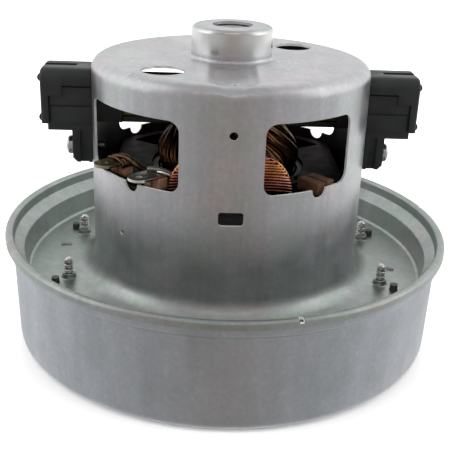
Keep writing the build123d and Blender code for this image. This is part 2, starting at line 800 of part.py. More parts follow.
# Each commutator bar has a lead, which slants from its hook to the winding's shoulder
lead_half_width = 0.4
lead_slant_angle = 22.0
lead_start_radius = hook_reach + 3 / 2 * lead_half_width
lead_start_level = bar_low + hook_height / 2
lead_end_radius = head_bulge_radius - lead_half_width
lead_end_level = stack_high + upper_head_bulge + 3 * lead_half_width

with BuildPart() as armature_winding:
    with BuildSketch(Plane.XY.offset(stack_low - head_gap)):
        with PolarLocations(armature_slot_circle, armature_slot_count):
            Rectangle(armature_slot_depth - 2 * slot_liner, armature_slot_width - 2 * slot_liner)
    extrude(amount=stack_height + 2 * head_gap)
    with BuildSketch(Plane.XZ):
        Polygon(
            (head_inner_radius, stack_high + head_gap),
            (head_root_radius, stack_high + head_gap),
            (head_bulge_radius, stack_high + upper_head_bulge),
            (head_neck_radius, stack_high + upper_head_neck),
            (head_inner_radius, stack_high + upper_head_top),
            align=None,
        )
        Polygon(
            (head_inner_radius, stack_low - head_gap),
            (head_root_radius, stack_low - head_gap),
            (lower_head_bulge_radius, stack_low - lower_head_bulge),
            (head_neck_radius, stack_low - lower_head_low),
            (head_inner_radius, stack_low - lower_head_low),
            align=None,
        )
    revolve(axis=Axis.Z)
    for copy in range(bar_count):
        bar_angle = bar_step_angle * (copy + 1 / 2)
        lead_start = Vector(*spot(bar_angle, lead_start_radius), lead_start_level)
        lead_end = Vector(*spot(bar_angle + lead_slant_angle, lead_end_radius), lead_end_level)
        with BuildSketch(Plane(origin=lead_start, z_dir=lead_end - lead_start)):
            Rectangle(2 * lead_half_width, 2 * lead_half_width)
        extrude(amount=(lead_end - lead_start).length)
armature_winding.part.label = "armature_winding"
export_step(armature_winding.part, "parts/armature_winding.step")

# Commutator: copper bars with hooks for the wires, round a moulded hub
bar_gap = 0.6

with BuildPart() as commutator_bars:
    with BuildSketch(Plane.XY.offset(bar_low)):
        Circle(commutator_radius)
        Circle(bar_inner_radius, mode=Mode.SUBTRACT)
        with PolarLocations(commutator_radius, bar_count):
            Rectangle(2 * commutator_radius - 2 * seat_clearance, bar_gap, mode=Mode.SUBTRACT)
    extrude(amount=2 * bar_half_length)
    with BuildSketch(Plane.XY.offset(bar_low)):
        with PolarLocations((hook_root + hook_reach) / 2, bar_count, start_angle=bar_step_angle / 2):
            Rectangle(hook_reach - hook_root, hook_width)
    extrude(amount=hook_height)
commutator_bars.part.label = "commutator_bars"
export_step(commutator_bars.part, "parts/commutator_bars.step")

# Plain round pieces on the shaft: name, outer radius, lower end and upper end
sleeve_radius = 5.6
spacer_radius = 6.0
clamp_washer_radius = 11.0
clamp_washer_height = 1.2
lower_bearing_high = lower_bearing_low + bearing_width
clamp_washer_low = impeller_back_low - clamp_washer_height

shaft_rings = (
    ("commutator_hub", bar_inner_radius - seat_clearance, hub_low, hub_high),
    ("shaft_sleeve", sleeve_radius, stack_high, hub_low),
    ("upper_spacer", spacer_radius, hub_high, upper_bearing_low),
    ("lower_spacer", spacer_radius, lower_bearing_high, stack_low),
    ("impeller_spacer", sleeve_radius, impeller_back_high, lower_bearing_low),
    ("impeller_washer", clamp_washer_radius, clamp_washer_low, impeller_back_low),
)
for name, radius, low, high in shaft_rings:
    with BuildPart() as ring:
        with BuildSketch(Plane.XY.offset(low)):
            Circle(radius)
            Circle(on_shaft_radius, mode=Mode.SUBTRACT)
        extrude(amount=high - low)
    ring.part.label = name
    export_step(ring.part, f"parts/{name}.step")

# Ball bearings: the outer ring sits in its housing, the inner ring turns with the shaft, and two shields
# close the gap between them
outer_race_radius = 8.95
inner_race_radius = 6.05
shield_thickness = 0.4
shield_inset = 0.3
shield_clearance = 0.25
ring_chamfer = 0.45

for name, low in (("upper", upper_bearing_low), ("lower", lower_bearing_low)):
    with BuildPart() as outer_ring:
        with BuildSketch(Plane.XY.offset(low)):
            Circle(bearing_radius)
            Circle(outer_race_radius, mode=Mode.SUBTRACT)
        extrude(amount=bearing_width)
        chamfer(edges().filter_by(GeomType.CIRCLE).group_by(SortBy.RADIUS)[-1], ring_chamfer)
    outer_ring.part.label = f"{name}_bearing_outer_ring"
    export_step(outer_ring.part, f"parts/{name}_bearing_outer_ring.step")

    with BuildPart() as inner_ring:
        with BuildSketch(Plane.XY.offset(low)):
            Circle(inner_race_radius)
            Circle(on_shaft_radius, mode=Mode.SUBTRACT)
        extrude(amount=bearing_width)
    inner_ring.part.label = f"{name}_bearing_inner_ring"
    export_step(inner_ring.part, f"parts/{name}_bearing_inner_ring.step")

    with BuildPart() as shields:
        for level in (low + shield_inset, low + bearing_width - shield_inset - shield_thickness):
            with BuildSketch(Plane.XY.offset(level)):
                Circle(outer_race_radius)
                Circle(inner_race_radius + shield_clearance, mode=Mode.SUBTRACT)
            extrude(amount=shield_thickness)
    shields.part.label = f"{name}_bearing_shields"
    export_step(shields.part, f"parts/{name}_bearing_shields.step")

# Washer that presses the upper bearing's outer ring down
washer_inner_radius = 8.5
washer_outer_radius = 10.2
with BuildPart() as bearing_washer:
    with BuildSketch(Plane.XY.offset(upper_bearing_low + bearing_width)):
        Circle(washer_outer_radius)
        Circle(washer_inner_radius, mode=Mode.SUBTRACT)
    extrude(amount=washer_height)
bearing_washer.part.label = "bearing_washer"
export_step(bearing_washer.part, "parts/bearing_washer.step")

# Impeller: a flat back plate, a front plate that dishes down to a neck round the inlet, and curved blades
impeller_inset = 4.5
impeller_radius = diffuser_radius - impeller_inset
front_outer_low = 4.7
front_inner_low = 2.6
neck_low = 1.6
neck_clearance = 0.85
neck_radius = inlet_radius + sheet + neck_clearance + impeller_plate
neck_corner = 0.9
blade_count = 7
blade_wall = 0.8
blade_inset = 0.5
blade_inner_radius = 23.0
blade_outer_radius = impeller_radius - blade_inset
blade_sweep_angle = 58.0
blade_bulge_share = 0.52

with BuildPart() as impeller_back_plate:
    with BuildSketch(Plane.XY.offset(impeller_back_low)):
        Circle(impeller_radius)
        Circle(on_shaft_radius, mode=Mode.SUBTRACT)
    extrude(amount=impeller_plate)
impeller_back_plate.part.label = "impeller_back_plate"
export_step(impeller_back_plate.part, "parts/impeller_back_plate.step")

with BuildPart() as impeller_front_plate:
    with BuildSketch(Plane.XZ):
        with BuildLine():
            FilletPolyline(
                (neck_radius, neck_low),
                (neck_radius, front_inner_low),
                (impeller_radius, front_outer_low),
                radius=neck_corner,
            )
            offset(amount=impeller_plate, side=Side.LEFT, closed=True)
        make_face()
    revolve(axis=Axis.Z)
impeller_front_plate.part.label = "impeller_front_plate"
export_step(impeller_front_plate.part, "parts/impeller_front_plate.step")

# The blades fill the room between the plates
front_slope = (front_outer_low - front_inner_low) / (impeller_radius - neck_radius)
front_rise = impeller_plate * math.sqrt(1 + front_slope**2)
with BuildPart() as blade_room:
    with BuildSketch(Plane.XZ):
        Polygon(
            (neck_radius, impeller_back_low),
            (neck_radius, front_inner_low + front_rise),
            (impeller_radius, front_outer_low + front_rise),
            (impeller_radius, impeller_back_low),
            align=None,
        )
    revolve(axis=Axis.Z)
blade_middle = blade_inner_radius + blade_bulge_share * (blade_outer_radius - blade_inner_radius)
with BuildPart() as impeller_blades:
    with BuildSketch(Plane.XY.offset(neck_low)):
        for copy in range(blade_count):
            turn_angle = 360 / blade_count * copy
            with BuildLine():
                blade_line = ThreePointArc(
                    spot(turn_angle, blade_inner_radius),
                    spot(turn_angle + blade_sweep_angle / 3, blade_middle),
                    spot(turn_angle + blade_sweep_angle, blade_outer_radius),
                )
            trace(blade_line, line_width=blade_wall)
    extrude(amount=impeller_back_low - neck_low)
    add(blade_room.part, mode=Mode.INTERSECT)
impeller_blades.part.label = "impeller_blades"
export_step(impeller_blades.part, "parts/impeller_blades.step")

nut_width = 13.0
nut_low = 3.0
with BuildPart() as impeller_nut:
    with BuildSketch(Plane.XY.offset(nut_low)):
        RegularPolygon(nut_width / 2, 6, major_radius=False)
        Circle(on_shaft_radius, mode=Mode.SUBTRACT)
    extrude(amount=clamp_washer_low - nut_low)
impeller_nut.part.label = "impeller_nut"
export_step(impeller_nut.part, "parts/impeller_nut.step")

# Brush holder: a black moulding that stands through the can's wall and is screwed to it below by its foot
holder_width = 15.3
holder_below = 7.95
holder_above = 8.0
holder_length = 14.15
holder_low = brush_axis - holder_below
holder_high = brush_axis + holder_above
holder_end = can_radius + holder_length
holder_round = 3.2
holder_end_round = 1.0
holder_end_wall = 1.5
holder_step_width = 11.6
holder_step_height = 2.35
holder_step_inset = 1.6
holder_step_low = holder_low - holder_step_height
holder_step_end = holder_end - holder_step_inset
foot_length = 3.7
foot_thickness = 5.55
foot_low = holder_foot_screw_height - foot_length
foot_face = can_radius + foot_thickness
foot_chamfer = 1.3
foot_groove_width = 2.5
foot_groove_start = can_radius + sheet
foot_groove_end = foot_groove_start + foot_groove_width
foot_groove_depth = 0.8
bead_radius = 1.25
bead_inset = 0.25
bead_length = 10.0
upper_bead_drop = 3.0
bead_levels = (holder_low + bead_radius, holder_high - upper_bead_drop)
lead_slot_width = 2.8
lead_slot_length = 9.8
lead_slot_start = holder_end - lead_slot_length
panel_inset = 2.8
panel_step_length = 3.5
panel_low_height = 5.05
panel_step_height = 3.2
panel_high_height = 2.5
panel_end = holder_end - panel_inset
panel_step_end = panel_end - panel_step_length
panel_low = holder_low + panel_low_height
panel_step = panel_low + panel_step_height
panel_high = panel_step + panel_high_height
panel_groove = 0.5
panel_depth = 0.6
panel_low_depth = 0.9
panel_groove_depth = 1.3
holder_wall = can_radius + joint_clearance
cavity_width = tube_width + 2 * joint_clearance
cavity_height = tube_height + 2 * joint_clearance
cavity_end = holder_end - holder_end_wall
cavity_top = brush_axis + cavity_height / 2
tube_gap = 2.5
tube_start = commutator_radius + tube_gap
holder_inner_reach = 8.5
holder_inner_end = can_bore_radius - holder_inner_reach

# The sunk panels and the grooves between them on the holder's two sides: ends, levels and depth
panel_cuts = (
    (panel_end, holder_low - overrun, panel_low, panel_low_depth),
    (panel_end, panel_low + panel_groove, panel_step, panel_depth),
    (panel_step_end, panel_step, panel_high, panel_depth),
    (panel_end, panel_low, panel_low + panel_groove, panel_groove_depth),
    (panel_step_end, panel_high, panel_high + panel_groove, panel_groove_depth),
)
with BuildPart() as holder_panels:
    for end, low, high, depth in panel_cuts:
        with BuildSketch(Plane.XZ.offset(holder_width / 2 - depth)):
            with Locations(((can_bore_radius + end) / 2, (low + high) / 2)):
                Rectangle(end - can_bore_radius, high - low)
        extrude(amount=depth + overrun)
    with BuildSketch(Plane.XZ.offset(holder_width / 2 - panel_groove_depth)):
        with Locations((panel_end + panel_groove / 2, (holder_low - overrun + panel_step) / 2)):
            Rectangle(panel_groove, panel_step - holder_low + overrun)
    extrude(amount=panel_groove_depth + overrun)
    mirror(about=Plane.XZ)

with BuildPart() as brush_holder_right:
    with BuildSketch(Plane.YZ.offset(can_bore_radius - overrun)):
        with Locations((0, (holder_low + holder_high) / 2)):
            Rectangle(holder_width, holder_high - holder_low)
    extrude(amount=holder_end - can_bore_radius + overrun)
    fillet(brush_holder_right.edges().filter_by(Axis.X).group_by(Axis.Z)[-1], holder_round)
    fillet(brush_holder_right.faces().sort_by(Axis.X)[-1].edges().group_by(Axis.Z)[-1], holder_end_round)
    add(holder_panels.part, mode=Mode.SUBTRACT)
    with BuildSketch(Plane.XZ):
        with BuildLine():
            Polyline(
                (can_bore_radius - overrun, holder_low + bead_radius),
                (can_bore_radius - overrun, foot_low),
                (foot_face - foot_chamfer, foot_low),
                (foot_face, foot_low + foot_chamfer),
                (foot_face, holder_step_low),
                (holder_step_end, holder_step_low),
                (holder_step_end, holder_low + bead_radius),
                close=True,
            )
        make_face()
    extrude(amount=holder_step_width / 2, both=True)
    with BuildSketch(Plane.XZ.offset(holder_step_width / 2 - foot_groove_depth)):
        with Locations(((foot_groove_start + foot_groove_end) / 2, (foot_low + holder_step_low) / 2)):
            Rectangle(foot_groove_end - foot_groove_start, holder_step_low - foot_low)
    extrude(amount=foot_groove_depth, mode=Mode.SUBTRACT)
    with BuildSketch(Plane.XZ.offset(-holder_step_width / 2)):
        with Locations(((foot_groove_start + foot_groove_end) / 2, (foot_low + holder_step_low) / 2)):
            Rectangle(foot_groove_end - foot_groove_start, holder_step_low - foot_low)
    extrude(amount=foot_groove_depth, mode=Mode.SUBTRACT)
    with BuildSketch(Plane.XZ):
        with Locations(*[(holder_end - bead_inset, level) for level in bead_levels]):
            Circle(bead_radius)
    extrude(amount=bead_length / 2, both=True)
    with BuildSketch(Plane.XY.offset(foot_low - overrun)):
        Circle(holder_wall)
    extrude(amount=holder_high - foot_low + 2 * overrun, mode=Mode.SUBTRACT)
    with BuildSketch(Plane.YZ.offset(holder_inner_end)):
        with Locations((0, brush_axis)):
            Rectangle(holder_inner_width, holder_inner_height)
    extrude(amount=holder_wall - holder_inner_end + overrun)
    with BuildSketch(Plane.YZ.offset(holder_inner_end - overrun)):
        with Locations((0, brush_axis)):
            Rectangle(cavity_width, cavity_height)
    extrude(amount=cavity_end - holder_inner_end + overrun, mode=Mode.SUBTRACT)
    with BuildSketch(Plane.XY.offset(cavity_top - overrun)):
        with Locations(((lead_slot_start + holder_end + overrun) / 2, 0)):
            Rectangle(holder_end + overrun - lead_slot_start, lead_slot_width)
    extrude(amount=holder_high - cavity_top + 2 * overrun, mode=Mode.SUBTRACT)
    with BuildSketch(Plane.YZ.offset(can_bore_radius)):
        with Locations((0, holder_foot_screw_height)):
            Circle(holder_screw_radius + joint_clearance)
    extrude(amount=foot_face - can_bore_radius + overrun, mode=Mode.SUBTRACT)
brush_holder_right.part.label = "brush_holder_right"
export_step(brush_holder_right.part, "parts/brush_holder_right.step")

# Brass tube that guides the brush
tube_end = cavity_end - 2 * joint_clearance
with BuildPart() as brush_tube_right:
    with BuildSketch(Plane.YZ.offset(tube_start)):
        with Locations((0, brush_axis)):
            Rectangle(tube_width, tube_height)
            Rectangle(tube_width - 2 * tube_wall, tube_height - 2 * tube_wall, mode=Mode.SUBTRACT)
    extrude(amount=tube_end - tube_start)
brush_tube_right.part.label = "brush_tube_right"
export_step(brush_tube_right.part, "parts/brush_tube_right.step")

# Brush terminal: a bent tab that stands on the tube in the holder's slot
tab_inset = 1.9
tab_length = 6.5
tab_end = holder_end - tab_inset
tab_start = tab_end - tab_length
tab_foot_width = 2.6
tab_foot_height = 0.5
tab_blade = 0.8
tab_top_gap = 0.4
tube_top = brush_axis + tube_height / 2
with BuildPart() as brush_terminal_right:
    with BuildSketch(Plane.YZ.offset(tab_start)):
        with Locations((0, tube_top + tab_foot_height / 2)):
            Rectangle(tab_foot_width, tab_foot_height)
        with Locations((0, (tube_top + holder_high - tab_top_gap) / 2)):
            Rectangle(tab_blade, holder_high - tab_top_gap - tube_top)
    extrude(amount=tab_end - tab_start)
brush_terminal_right.part.label = "brush_terminal_right"
export_step(brush_terminal_right.part, "parts/brush_terminal_right.step")

# Carbon brush, hollowed at its inner end to the commutator
brush_length = 22.5
brush_length_end = commutator_radius + brush_length
brush_contact_gap = 0.1
with BuildPart() as carbon_brush_right:
    with BuildSketch(Plane.YZ.offset(commutator_radius - overrun)):
        with Locations((0, brush_axis)):
            Rectangle(brush_width, brush_height)
    extrude(amount=brush_length_end - commutator_radius + overrun)
    with BuildSketch(Plane.XY.offset(brush_axis - brush_height)):
        Circle(commutator_radius + brush_contact_gap)
    extrude(amount=2 * brush_height, mode=Mode.SUBTRACT)
carbon_brush_right.part.label = "carbon_brush_right"
export_step(carbon_brush_right.part, "parts/carbon_brush_right.step")

# Brush spring, between the brush and the holder's end
spring_radius = 2.8
spring_wall = 0.5
spring_gap = 0.1
with BuildPart() as brush_spring_right:
    with BuildSketch(Plane.YZ.offset(brush_length_end + spring_gap)):
        with Locations((0, brush_axis)):
            Circle(spring_radius)
            Circle(spring_radius - spring_wall, mode=Mode.SUBTRACT)
    extrude(amount=cavity_end - brush_length_end - 2 * spring_gap)
brush_spring_right.part.label = "brush_spring_right"
export_step(brush_spring_right.part, "parts/brush_spring_right.step")

# The left brush gear is the right one mirrored
right_pieces = (
    ("brush_holder", brush_holder_right),
    ("brush_tube", brush_tube_right),
    ("brush_terminal", brush_terminal_right),
    ("carbon_brush", carbon_brush_right),
    ("brush_spring", brush_spring_right),
)
for name, right_piece in right_pieces:
    with BuildPart() as left_piece:
        mirror(right_piece.part, about=Plane.YZ)
    left_piece.part.label = f"{name}_left"
    export_step(left_piece.part, f"parts/{name}_left.step")

# Screws that hold the feet of the brush holders to the can
screw_inset = 2.5
screw_start = can_bore_radius - screw_inset
pan_radius = 2.8
pan_height = 2.4
pan_round = 1.1
with BuildPart() as brush_holder_screws:
    with BuildSketch(Plane.YZ.offset(screw_start)):
        with Locations((0, holder_foot_screw_height)):
            Circle(holder_screw_radius)
    extrude(amount=foot_face - screw_start)
    with BuildSketch(Plane.YZ.offset(foot_face)):
        with Locations((0, holder_foot_screw_height)):
            Circle(pan_radius)
    extrude(amount=pan_height)
    fillet(brush_holder_screws.faces().sort_by(Axis.X)[-1].edges(), pan_round)
    mirror(about=Plane.YZ)
brush_holder_screws.part.label = "brush_holder_screws"
export_step(brush_holder_screws.part, "parts/brush_holder_screws.step")
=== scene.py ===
import math
import random

import bmesh
import bpy
import numpy as np
from mathutils import Matrix, Vector


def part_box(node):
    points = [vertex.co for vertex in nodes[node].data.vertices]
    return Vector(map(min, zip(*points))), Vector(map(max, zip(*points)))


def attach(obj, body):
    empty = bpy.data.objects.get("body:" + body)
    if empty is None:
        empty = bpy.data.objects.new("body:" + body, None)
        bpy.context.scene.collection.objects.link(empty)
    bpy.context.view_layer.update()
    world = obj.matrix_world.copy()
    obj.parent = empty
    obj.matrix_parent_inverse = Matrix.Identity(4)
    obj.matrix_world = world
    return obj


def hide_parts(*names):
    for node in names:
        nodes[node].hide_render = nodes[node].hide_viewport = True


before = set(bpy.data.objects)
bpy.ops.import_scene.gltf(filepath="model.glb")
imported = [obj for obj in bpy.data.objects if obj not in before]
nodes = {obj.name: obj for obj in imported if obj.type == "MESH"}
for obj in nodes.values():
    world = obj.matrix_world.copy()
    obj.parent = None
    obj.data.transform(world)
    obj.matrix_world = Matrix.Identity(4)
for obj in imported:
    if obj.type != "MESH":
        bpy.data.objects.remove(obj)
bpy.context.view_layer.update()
MM = 0.001

# Camera, floor and light. The motor stands on a pale floor in a white studio that is dimmer on the
# camera's side, so that the steel shows grey in front and bright towards its edges.
camera_distance = 239.977 * MM
camera_height = 130.794 * MM
camera_bearing = math.radians(1.9)
camera_heading = math.radians(1.871)
camera_pitch = math.radians(22.45)
camera_roll = math.radians(2.078)

camera = bpy.data.objects.new("camera", bpy.data.cameras.new("camera"))
camera.data.lens = 65.53
camera.data.sensor_width = 36.0
camera.data.clip_start = 0.01
camera.location = (
    -camera_distance * math.sin(camera_bearing),
    -camera_distance * math.cos(camera_bearing),
    camera_height,
)
camera.rotation_euler = (
    Matrix.Rotation(-camera_heading, 3, "Z")
    @ Matrix.Rotation(math.pi / 2 - camera_pitch, 3, "X")
    @ Matrix.Rotation(camera_roll, 3, "Z")
).to_euler()
bpy.context.scene.collection.objects.link(camera)
bpy.context.scene.camera = camera
bpy.context.scene.view_settings.view_transform = "Standard"


def filled(tree, node, inputs):
    """Fills a node's inputs with values or links."""
    for name, value in inputs.items():
        if isinstance(value, bpy.types.NodeSocket):
            tree.links.new(value, node.inputs[name])
        else:
            node.inputs[name].default_value = value
    return node


def wired(tree, kind, inputs=None, **settings):
    """Adds a shader node, sets it, and fills its inputs."""
    node = tree.nodes.new("ShaderNode" + kind)
    for name, value in settings.items():
        setattr(node, name, value)
    return filled(tree, node, inputs or {})


def ramp(tree, factor, stops):
    """A colour ramp of (place, grey or colour) stops."""
    node = wired(tree, "ValToRGB", {"Fac": factor})
    while len(node.color_ramp.elements) < len(stops):
        node.color_ramp.elements.new(0.5)
    for element, (place, colour) in zip(node.color_ramp.elements, stops):
        element.position = place
        element.color = (colour,) * 3 + (1,) if isinstance(colour, float) else (*colour, 1)
    return node.outputs["Color"]


def ranged(tree, value, low, high, start=0.0, end=1.0):
    """Maps a value from low..high to start..end, held at both ends."""
    reach = {"Value": value, "From Min": low, "From Max": high, "To Min": start, "To Max": end}
    return wired(tree, "MapRange", reach).outputs["Result"]


def blended(tree, factor, first, second, way="MIX"):
    """Two colours mixed or multiplied."""
    inputs = {"Fac": factor, "Color1": first, "Color2": second}
    return wired(tree, "MixRGB", inputs, blend_type=way).outputs["Color"]


def noise(tree, coords, scale, detail=2.0, stretch=None):
    """Cloudy noise, drawn out where a stretch is given."""
    if stretch:
        coords = wired(tree, "Mapping", {"Vector": coords, "Scale": stretch}).outputs["Vector"]
    return wired(tree, "TexNoise", {"Vector": coords, "Scale": scale, "Detail": detail}).outputs["Fac"]


world = bpy.data.worlds.new("studio")
world.use_nodes = True
bpy.context.scene.world = world
tree = world.node_tree
tree.nodes.clear()
axes = wired(tree, "SeparateXYZ", {"Vector": wired(tree, "TexCoord").outputs["Generated"]})
level = wired(tree, "CombineXYZ", {"X": axes.outputs["X"], "Y": axes.outputs["Y"]})
level = wired(tree, "VectorMath", {0: level.outputs["Vector"]}, operation="NORMALIZE")
level = wired(tree, "SeparateXYZ", {"Vector": level.outputs["Vector"]})
bearing = ranged(tree, level.outputs["Y"], -1.0, 1.0)
# Brightness by bearing, from the camera's side to the far side: near the floor, and higher up
low_stops = [
    (0.0, (0.36, 0.31, 0.28)), (0.06, 0.42), (0.15, 0.50), (0.3, 0.53),
    (0.5, 0.68), (0.65, 0.92), (1.0, 1.02),
]
wall_stops = [(0.0, (0.40, 0.36, 0.34)), (0.22, 0.46), (0.36, 1.4), (0.6, 1.4), (0.72, 1.1), (1.0, 0.94)]
ceiling = (0.5, 0.5, 0.5, 1.0)
ceiling_reach = (0.74, 0.93)
wall_reach = (-0.04, 0.12)
side_tilt = (0.97, 1.03)
overhead = ranged(tree, axes.outputs["Z"], *ceiling_reach)
high_light = blended(tree, overhead, ramp(tree, bearing, wall_stops), ceiling)
above_floor = ranged(tree, axes.outputs["Z"], *wall_reach)
glow = blended(tree, above_floor, ramp(tree, bearing, low_stops), high_light)
sideways = ranged(tree, level.outputs["X"], -1.0, 1.0, *side_tilt)
glow = blended(tree, 1.0, glow, sideways, "MULTIPLY")
studio = wired(tree, "Background", {"Color": glow, "Strength": 1.0})
backdrop = wired(tree, "Background", {"Color": (1, 1, 1, 1), "Strength": 1.0})
mixed = wired(tree, "MixShader", {"Fac": wired(tree, "LightPath").outputs["Is Camera Ray"]})
tree.links.new(studio.outputs["Background"], mixed.inputs[1])
tree.links.new(backdrop.outputs["Background"], mixed.inputs[2])
tree.links.new(mixed.outputs["Shader"], wired(tree, "OutputWorld").inputs["Surface"])

# Each lamp: name, place, width, depth, power, and whether the steel mirrors it
softboxes = (
    ("lamp_left", (-0.8, -0.3, 0.55), 0.7, 0.7, 4.0, False),
    ("lamp_right", (0.8, -0.3, 0.55), 0.7, 0.7, 4.0, False),
    ("lamp_top", (0.0, 0.1, 0.9), 0.9, 0.9, 6.0, False),
    ("lamp_front", (0.0, -0.9, 0.6), 0.6, 0.6, 2.0, False),
    ("lamp_back", (0.0, 0.9, 0.6), 0.7, 0.7, 5.0, False),
    ("lamp_strip", (0.0, -0.55, 0.72), 0.6, 0.06, 0.2, True),
)
lamp_aim = Vector((0, 0, 0.03))
for name, place, width, depth, power, mirrored in softboxes:
    light = bpy.data.lights.new(name, "AREA")
    light.shape = "RECTANGLE"
    light.size = width
    light.size_y = depth
    light.energy = power
    lamp = bpy.data.objects.new(name, light)
    lamp.location = place
    lamp.rotation_euler = (lamp_aim - Vector(place)).to_track_quat("-Z", "Y").to_euler()
    lamp.visible_glossy = mirrored
    bpy.context.scene.collection.objects.link(lamp)


def material(name):
    """An empty node material: its tree, its Principled shader and its coordinates."""
    made = bpy.data.materials.new(name)
    made.use_nodes = True
    tree = made.node_tree
    tree.nodes.clear()
    shader = wired(tree, "BsdfPrincipled")
    tree.links.new(shader.outputs["BSDF"], wired(tree, "OutputMaterial").inputs["Surface"])
    return made, tree, shader, wired(tree, "TexCoord").outputs["Object"]


floor_half = 6.0
floor_paint, tree, shader, coords = material("floor_paint")
pale = ramp(tree, noise(tree, coords, 3.0), [(0.0, 0.93), (1.0, 0.96)])
filled(tree, shader, {"Base Color": pale, "Roughness": 0.9})
floor_mesh = bpy.data.meshes.new("floor")
floor_corners = [(x * floor_half, y * floor_half, 0) for x, y in ((-1, -1), (1, -1), (1, 1), (-1, 1))]
floor_mesh.from_pydata(floor_corners, [], [(0, 1, 2, 3)])
floor_mesh.materials.append(floor_paint)
floor = bpy.data.objects.new("floor", floor_mesh)
floor.visible_glossy = False
bpy.context.scene.collection.objects.link(floor)

# Motor can. One deep drawing of zinc-plated steel sheet: the bearing boss, the wall with its punched
# windows, the flange with its pulled-up screw collars, and the rim rolled over the fan cover's edge.
sheet = 0.75 * MM
can_radius = 40.75 * MM
can_top = 85.0 * MM
total_height = 94.2 * MM
boss_radius = 11.77 * MM
boss_hole_radius = 5.8 * MM
flange_top = 20.7 * MM
trough_radius = 61.5 * MM
rim_radius = 67.5 * MM
rim_crest = 34.1 * MM
rim_inner_radius = rim_radius - 2.4 * MM
rim_bend = 1.15 * MM
hem_low = 31.9 * MM
ledge_radius = 61.9 * MM
ledge_low = 28.1 * MM
ledge_high = 30.5 * MM
ledge_bend = 0.8 * MM
trough_bend = 1.2 * MM
flare_bend = 6.0 * MM
shoulder_bend = 3.8 * MM
boss_bend = 1.5 * MM
boss_foot = 1.0 * MM
brush_axis = 73.3 * MM
foot_screw_level = 57.0 * MM


def rounded(corners):
    """Points of an outline given by corners of (x, y, radius)."""
    turn_step = math.radians(9)
    points = []
    count = len(corners)
    for index, (x, y, radius) in enumerate(corners):
        here = Vector((x, y))
        if radius == 0 or index in (0, count - 1):
            points.append(here)
            continue
        back = (Vector(corners[index - 1][:2]) - here).normalized()
        ahead = (Vector(corners[index + 1][:2]) - here).normalized()
        half = back.angle(ahead) / 2
        centre = here + (back + ahead).normalized() * radius / math.sin(half)
        start = here + back * radius / math.tan(half) - centre
        sweep = math.pi - 2 * half
        way = 1 if back.cross(ahead) < 0 else -1
        steps = max(2, round(sweep / turn_step))
        for part in range(steps + 1):
            points.append(centre + Matrix.Rotation(way * sweep * part / steps, 2) @ start)
    return points


def divided(points, step, fine_step, fine_above):
    """The same outline with its straight runs divided, more finely above a level."""
    out = [points[0]]
    for here, after in zip(points, points[1:]):
        chosen = fine_step if min(here.y, after.y) > fine_above else step
        parts = max(1, round((after - here).length / chosen))
        out.extend(here.lerp(after, part / parts) for part in range(1, parts + 1))
    return out


def walled(path, wall):
    """A closed loop of the path and its copy at the wall's thickness, on its left for a positive wall."""
    moved = []
    for index, here in enumerate(path):
        before = path[max(index - 1, 0)]
        after = path[min(index + 1, len(path) - 1)]
        first = (here - before).normalized() if index else (after - here).normalized()
        second = (after - here).normalized() if index < len(path) - 1 else first
        normal = Vector((-(first + second).y, (first + second).x)).normalized()
        spread = max(0.3, math.cos(first.angle(second) / 2)) if first.length and second.length else 1
        moved.append(here + normal * wall / spread)
    return path + moved[::-1]


def new_object(name, mesh):
    made = bpy.data.objects.new(name, mesh)
    bpy.context.scene.collection.objects.link(made)
    return made


def turned(name, loop, steps=320, centre=(0, 0)):
    """A closed loop of (radius, height) turned round an upright axis into a closed mesh."""
    loop = [Vector(point) for point in loop]
    area = sum(a.x * b.y - b.x * a.y for a, b in zip(loop, loop[1:] + loop[:1]))
    if area < 0:
        loop = loop[::-1]
    count = len(loop)
    angles = np.linspace(0, 2 * math.pi, steps, endpoint=False)
    radius = np.array([p.x for p in loop])
    height = np.broadcast_to(np.array([p.y for p in loop]), (steps, count))
    across = centre[0] + np.outer(np.sin(angles), radius)
    depth = centre[1] - np.outer(np.cos(angles), radius)
    places = np.stack([across, depth, height], axis=2).reshape(-1, 3)
    here = np.arange(steps)[:, None] * count + np.arange(count)[None, :]
    ahead = np.roll(here, -1, axis=1)
    faces = np.stack([here, np.roll(here, -1, axis=0), np.roll(ahead, -1, axis=0), ahead], axis=2)
    mesh = bpy.data.meshes.new(name)
    mesh.from_pydata(places.tolist(), [], faces.reshape(-1, 4).tolist())
    whole = bmesh.new()
    whole.from_mesh(mesh)
    bmesh.ops.remove_doubles(whole, verts=whole.verts, dist=1e-7)
    bmesh.ops.recalc_face_normals(whole, faces=whole.faces)
    whole.to_mesh(mesh)
    whole.free()
    return new_object(name, mesh)


def joined(piece, *others):
    """Takes other objects' meshes into the piece, with their materials."""
    whole = bmesh.new()
    whole.from_mesh(piece.data)
    for other in others:
        start = len(whole.faces)
        whole.from_mesh(other.data)
        whole.faces.ensure_lookup_table()
        for slot, finish in enumerate(other.data.materials):
            if finish.name not in piece.data.materials:
                piece.data.materials.append(finish)
        for face in whole.faces[start:]:
            if other.data.materials:
                finish = other.data.materials[min(face.material_index, len(other.data.materials) - 1)]
                face.material_index = piece.data.materials.find(finish.name)
        bpy.data.objects.remove(other)
    whole.to_mesh(piece.data)
    whole.free()
    return piece


def prism(outline, angle, near, far, height=0.0):
    """A closed bar whose outline, in (across, up), faces outwards at an angle round the axis."""
    turn = math.radians(angle)
    out = Vector((math.sin(turn), -math.cos(turn), 0))
    across = Vector((math.cos(turn), math.sin(turn), 0))
    face = [across * side + Vector((0, 0, up + height)) for side, up in outline]
    return [place + out * depth for depth in (near, far) for place in face], len(outline)


def pillar(outline, low, high):
    """A closed upright bar whose outline is in plan."""
    return [Vector((p[0], p[1], level)) for level in (low, high) for p in outline], len(outline)


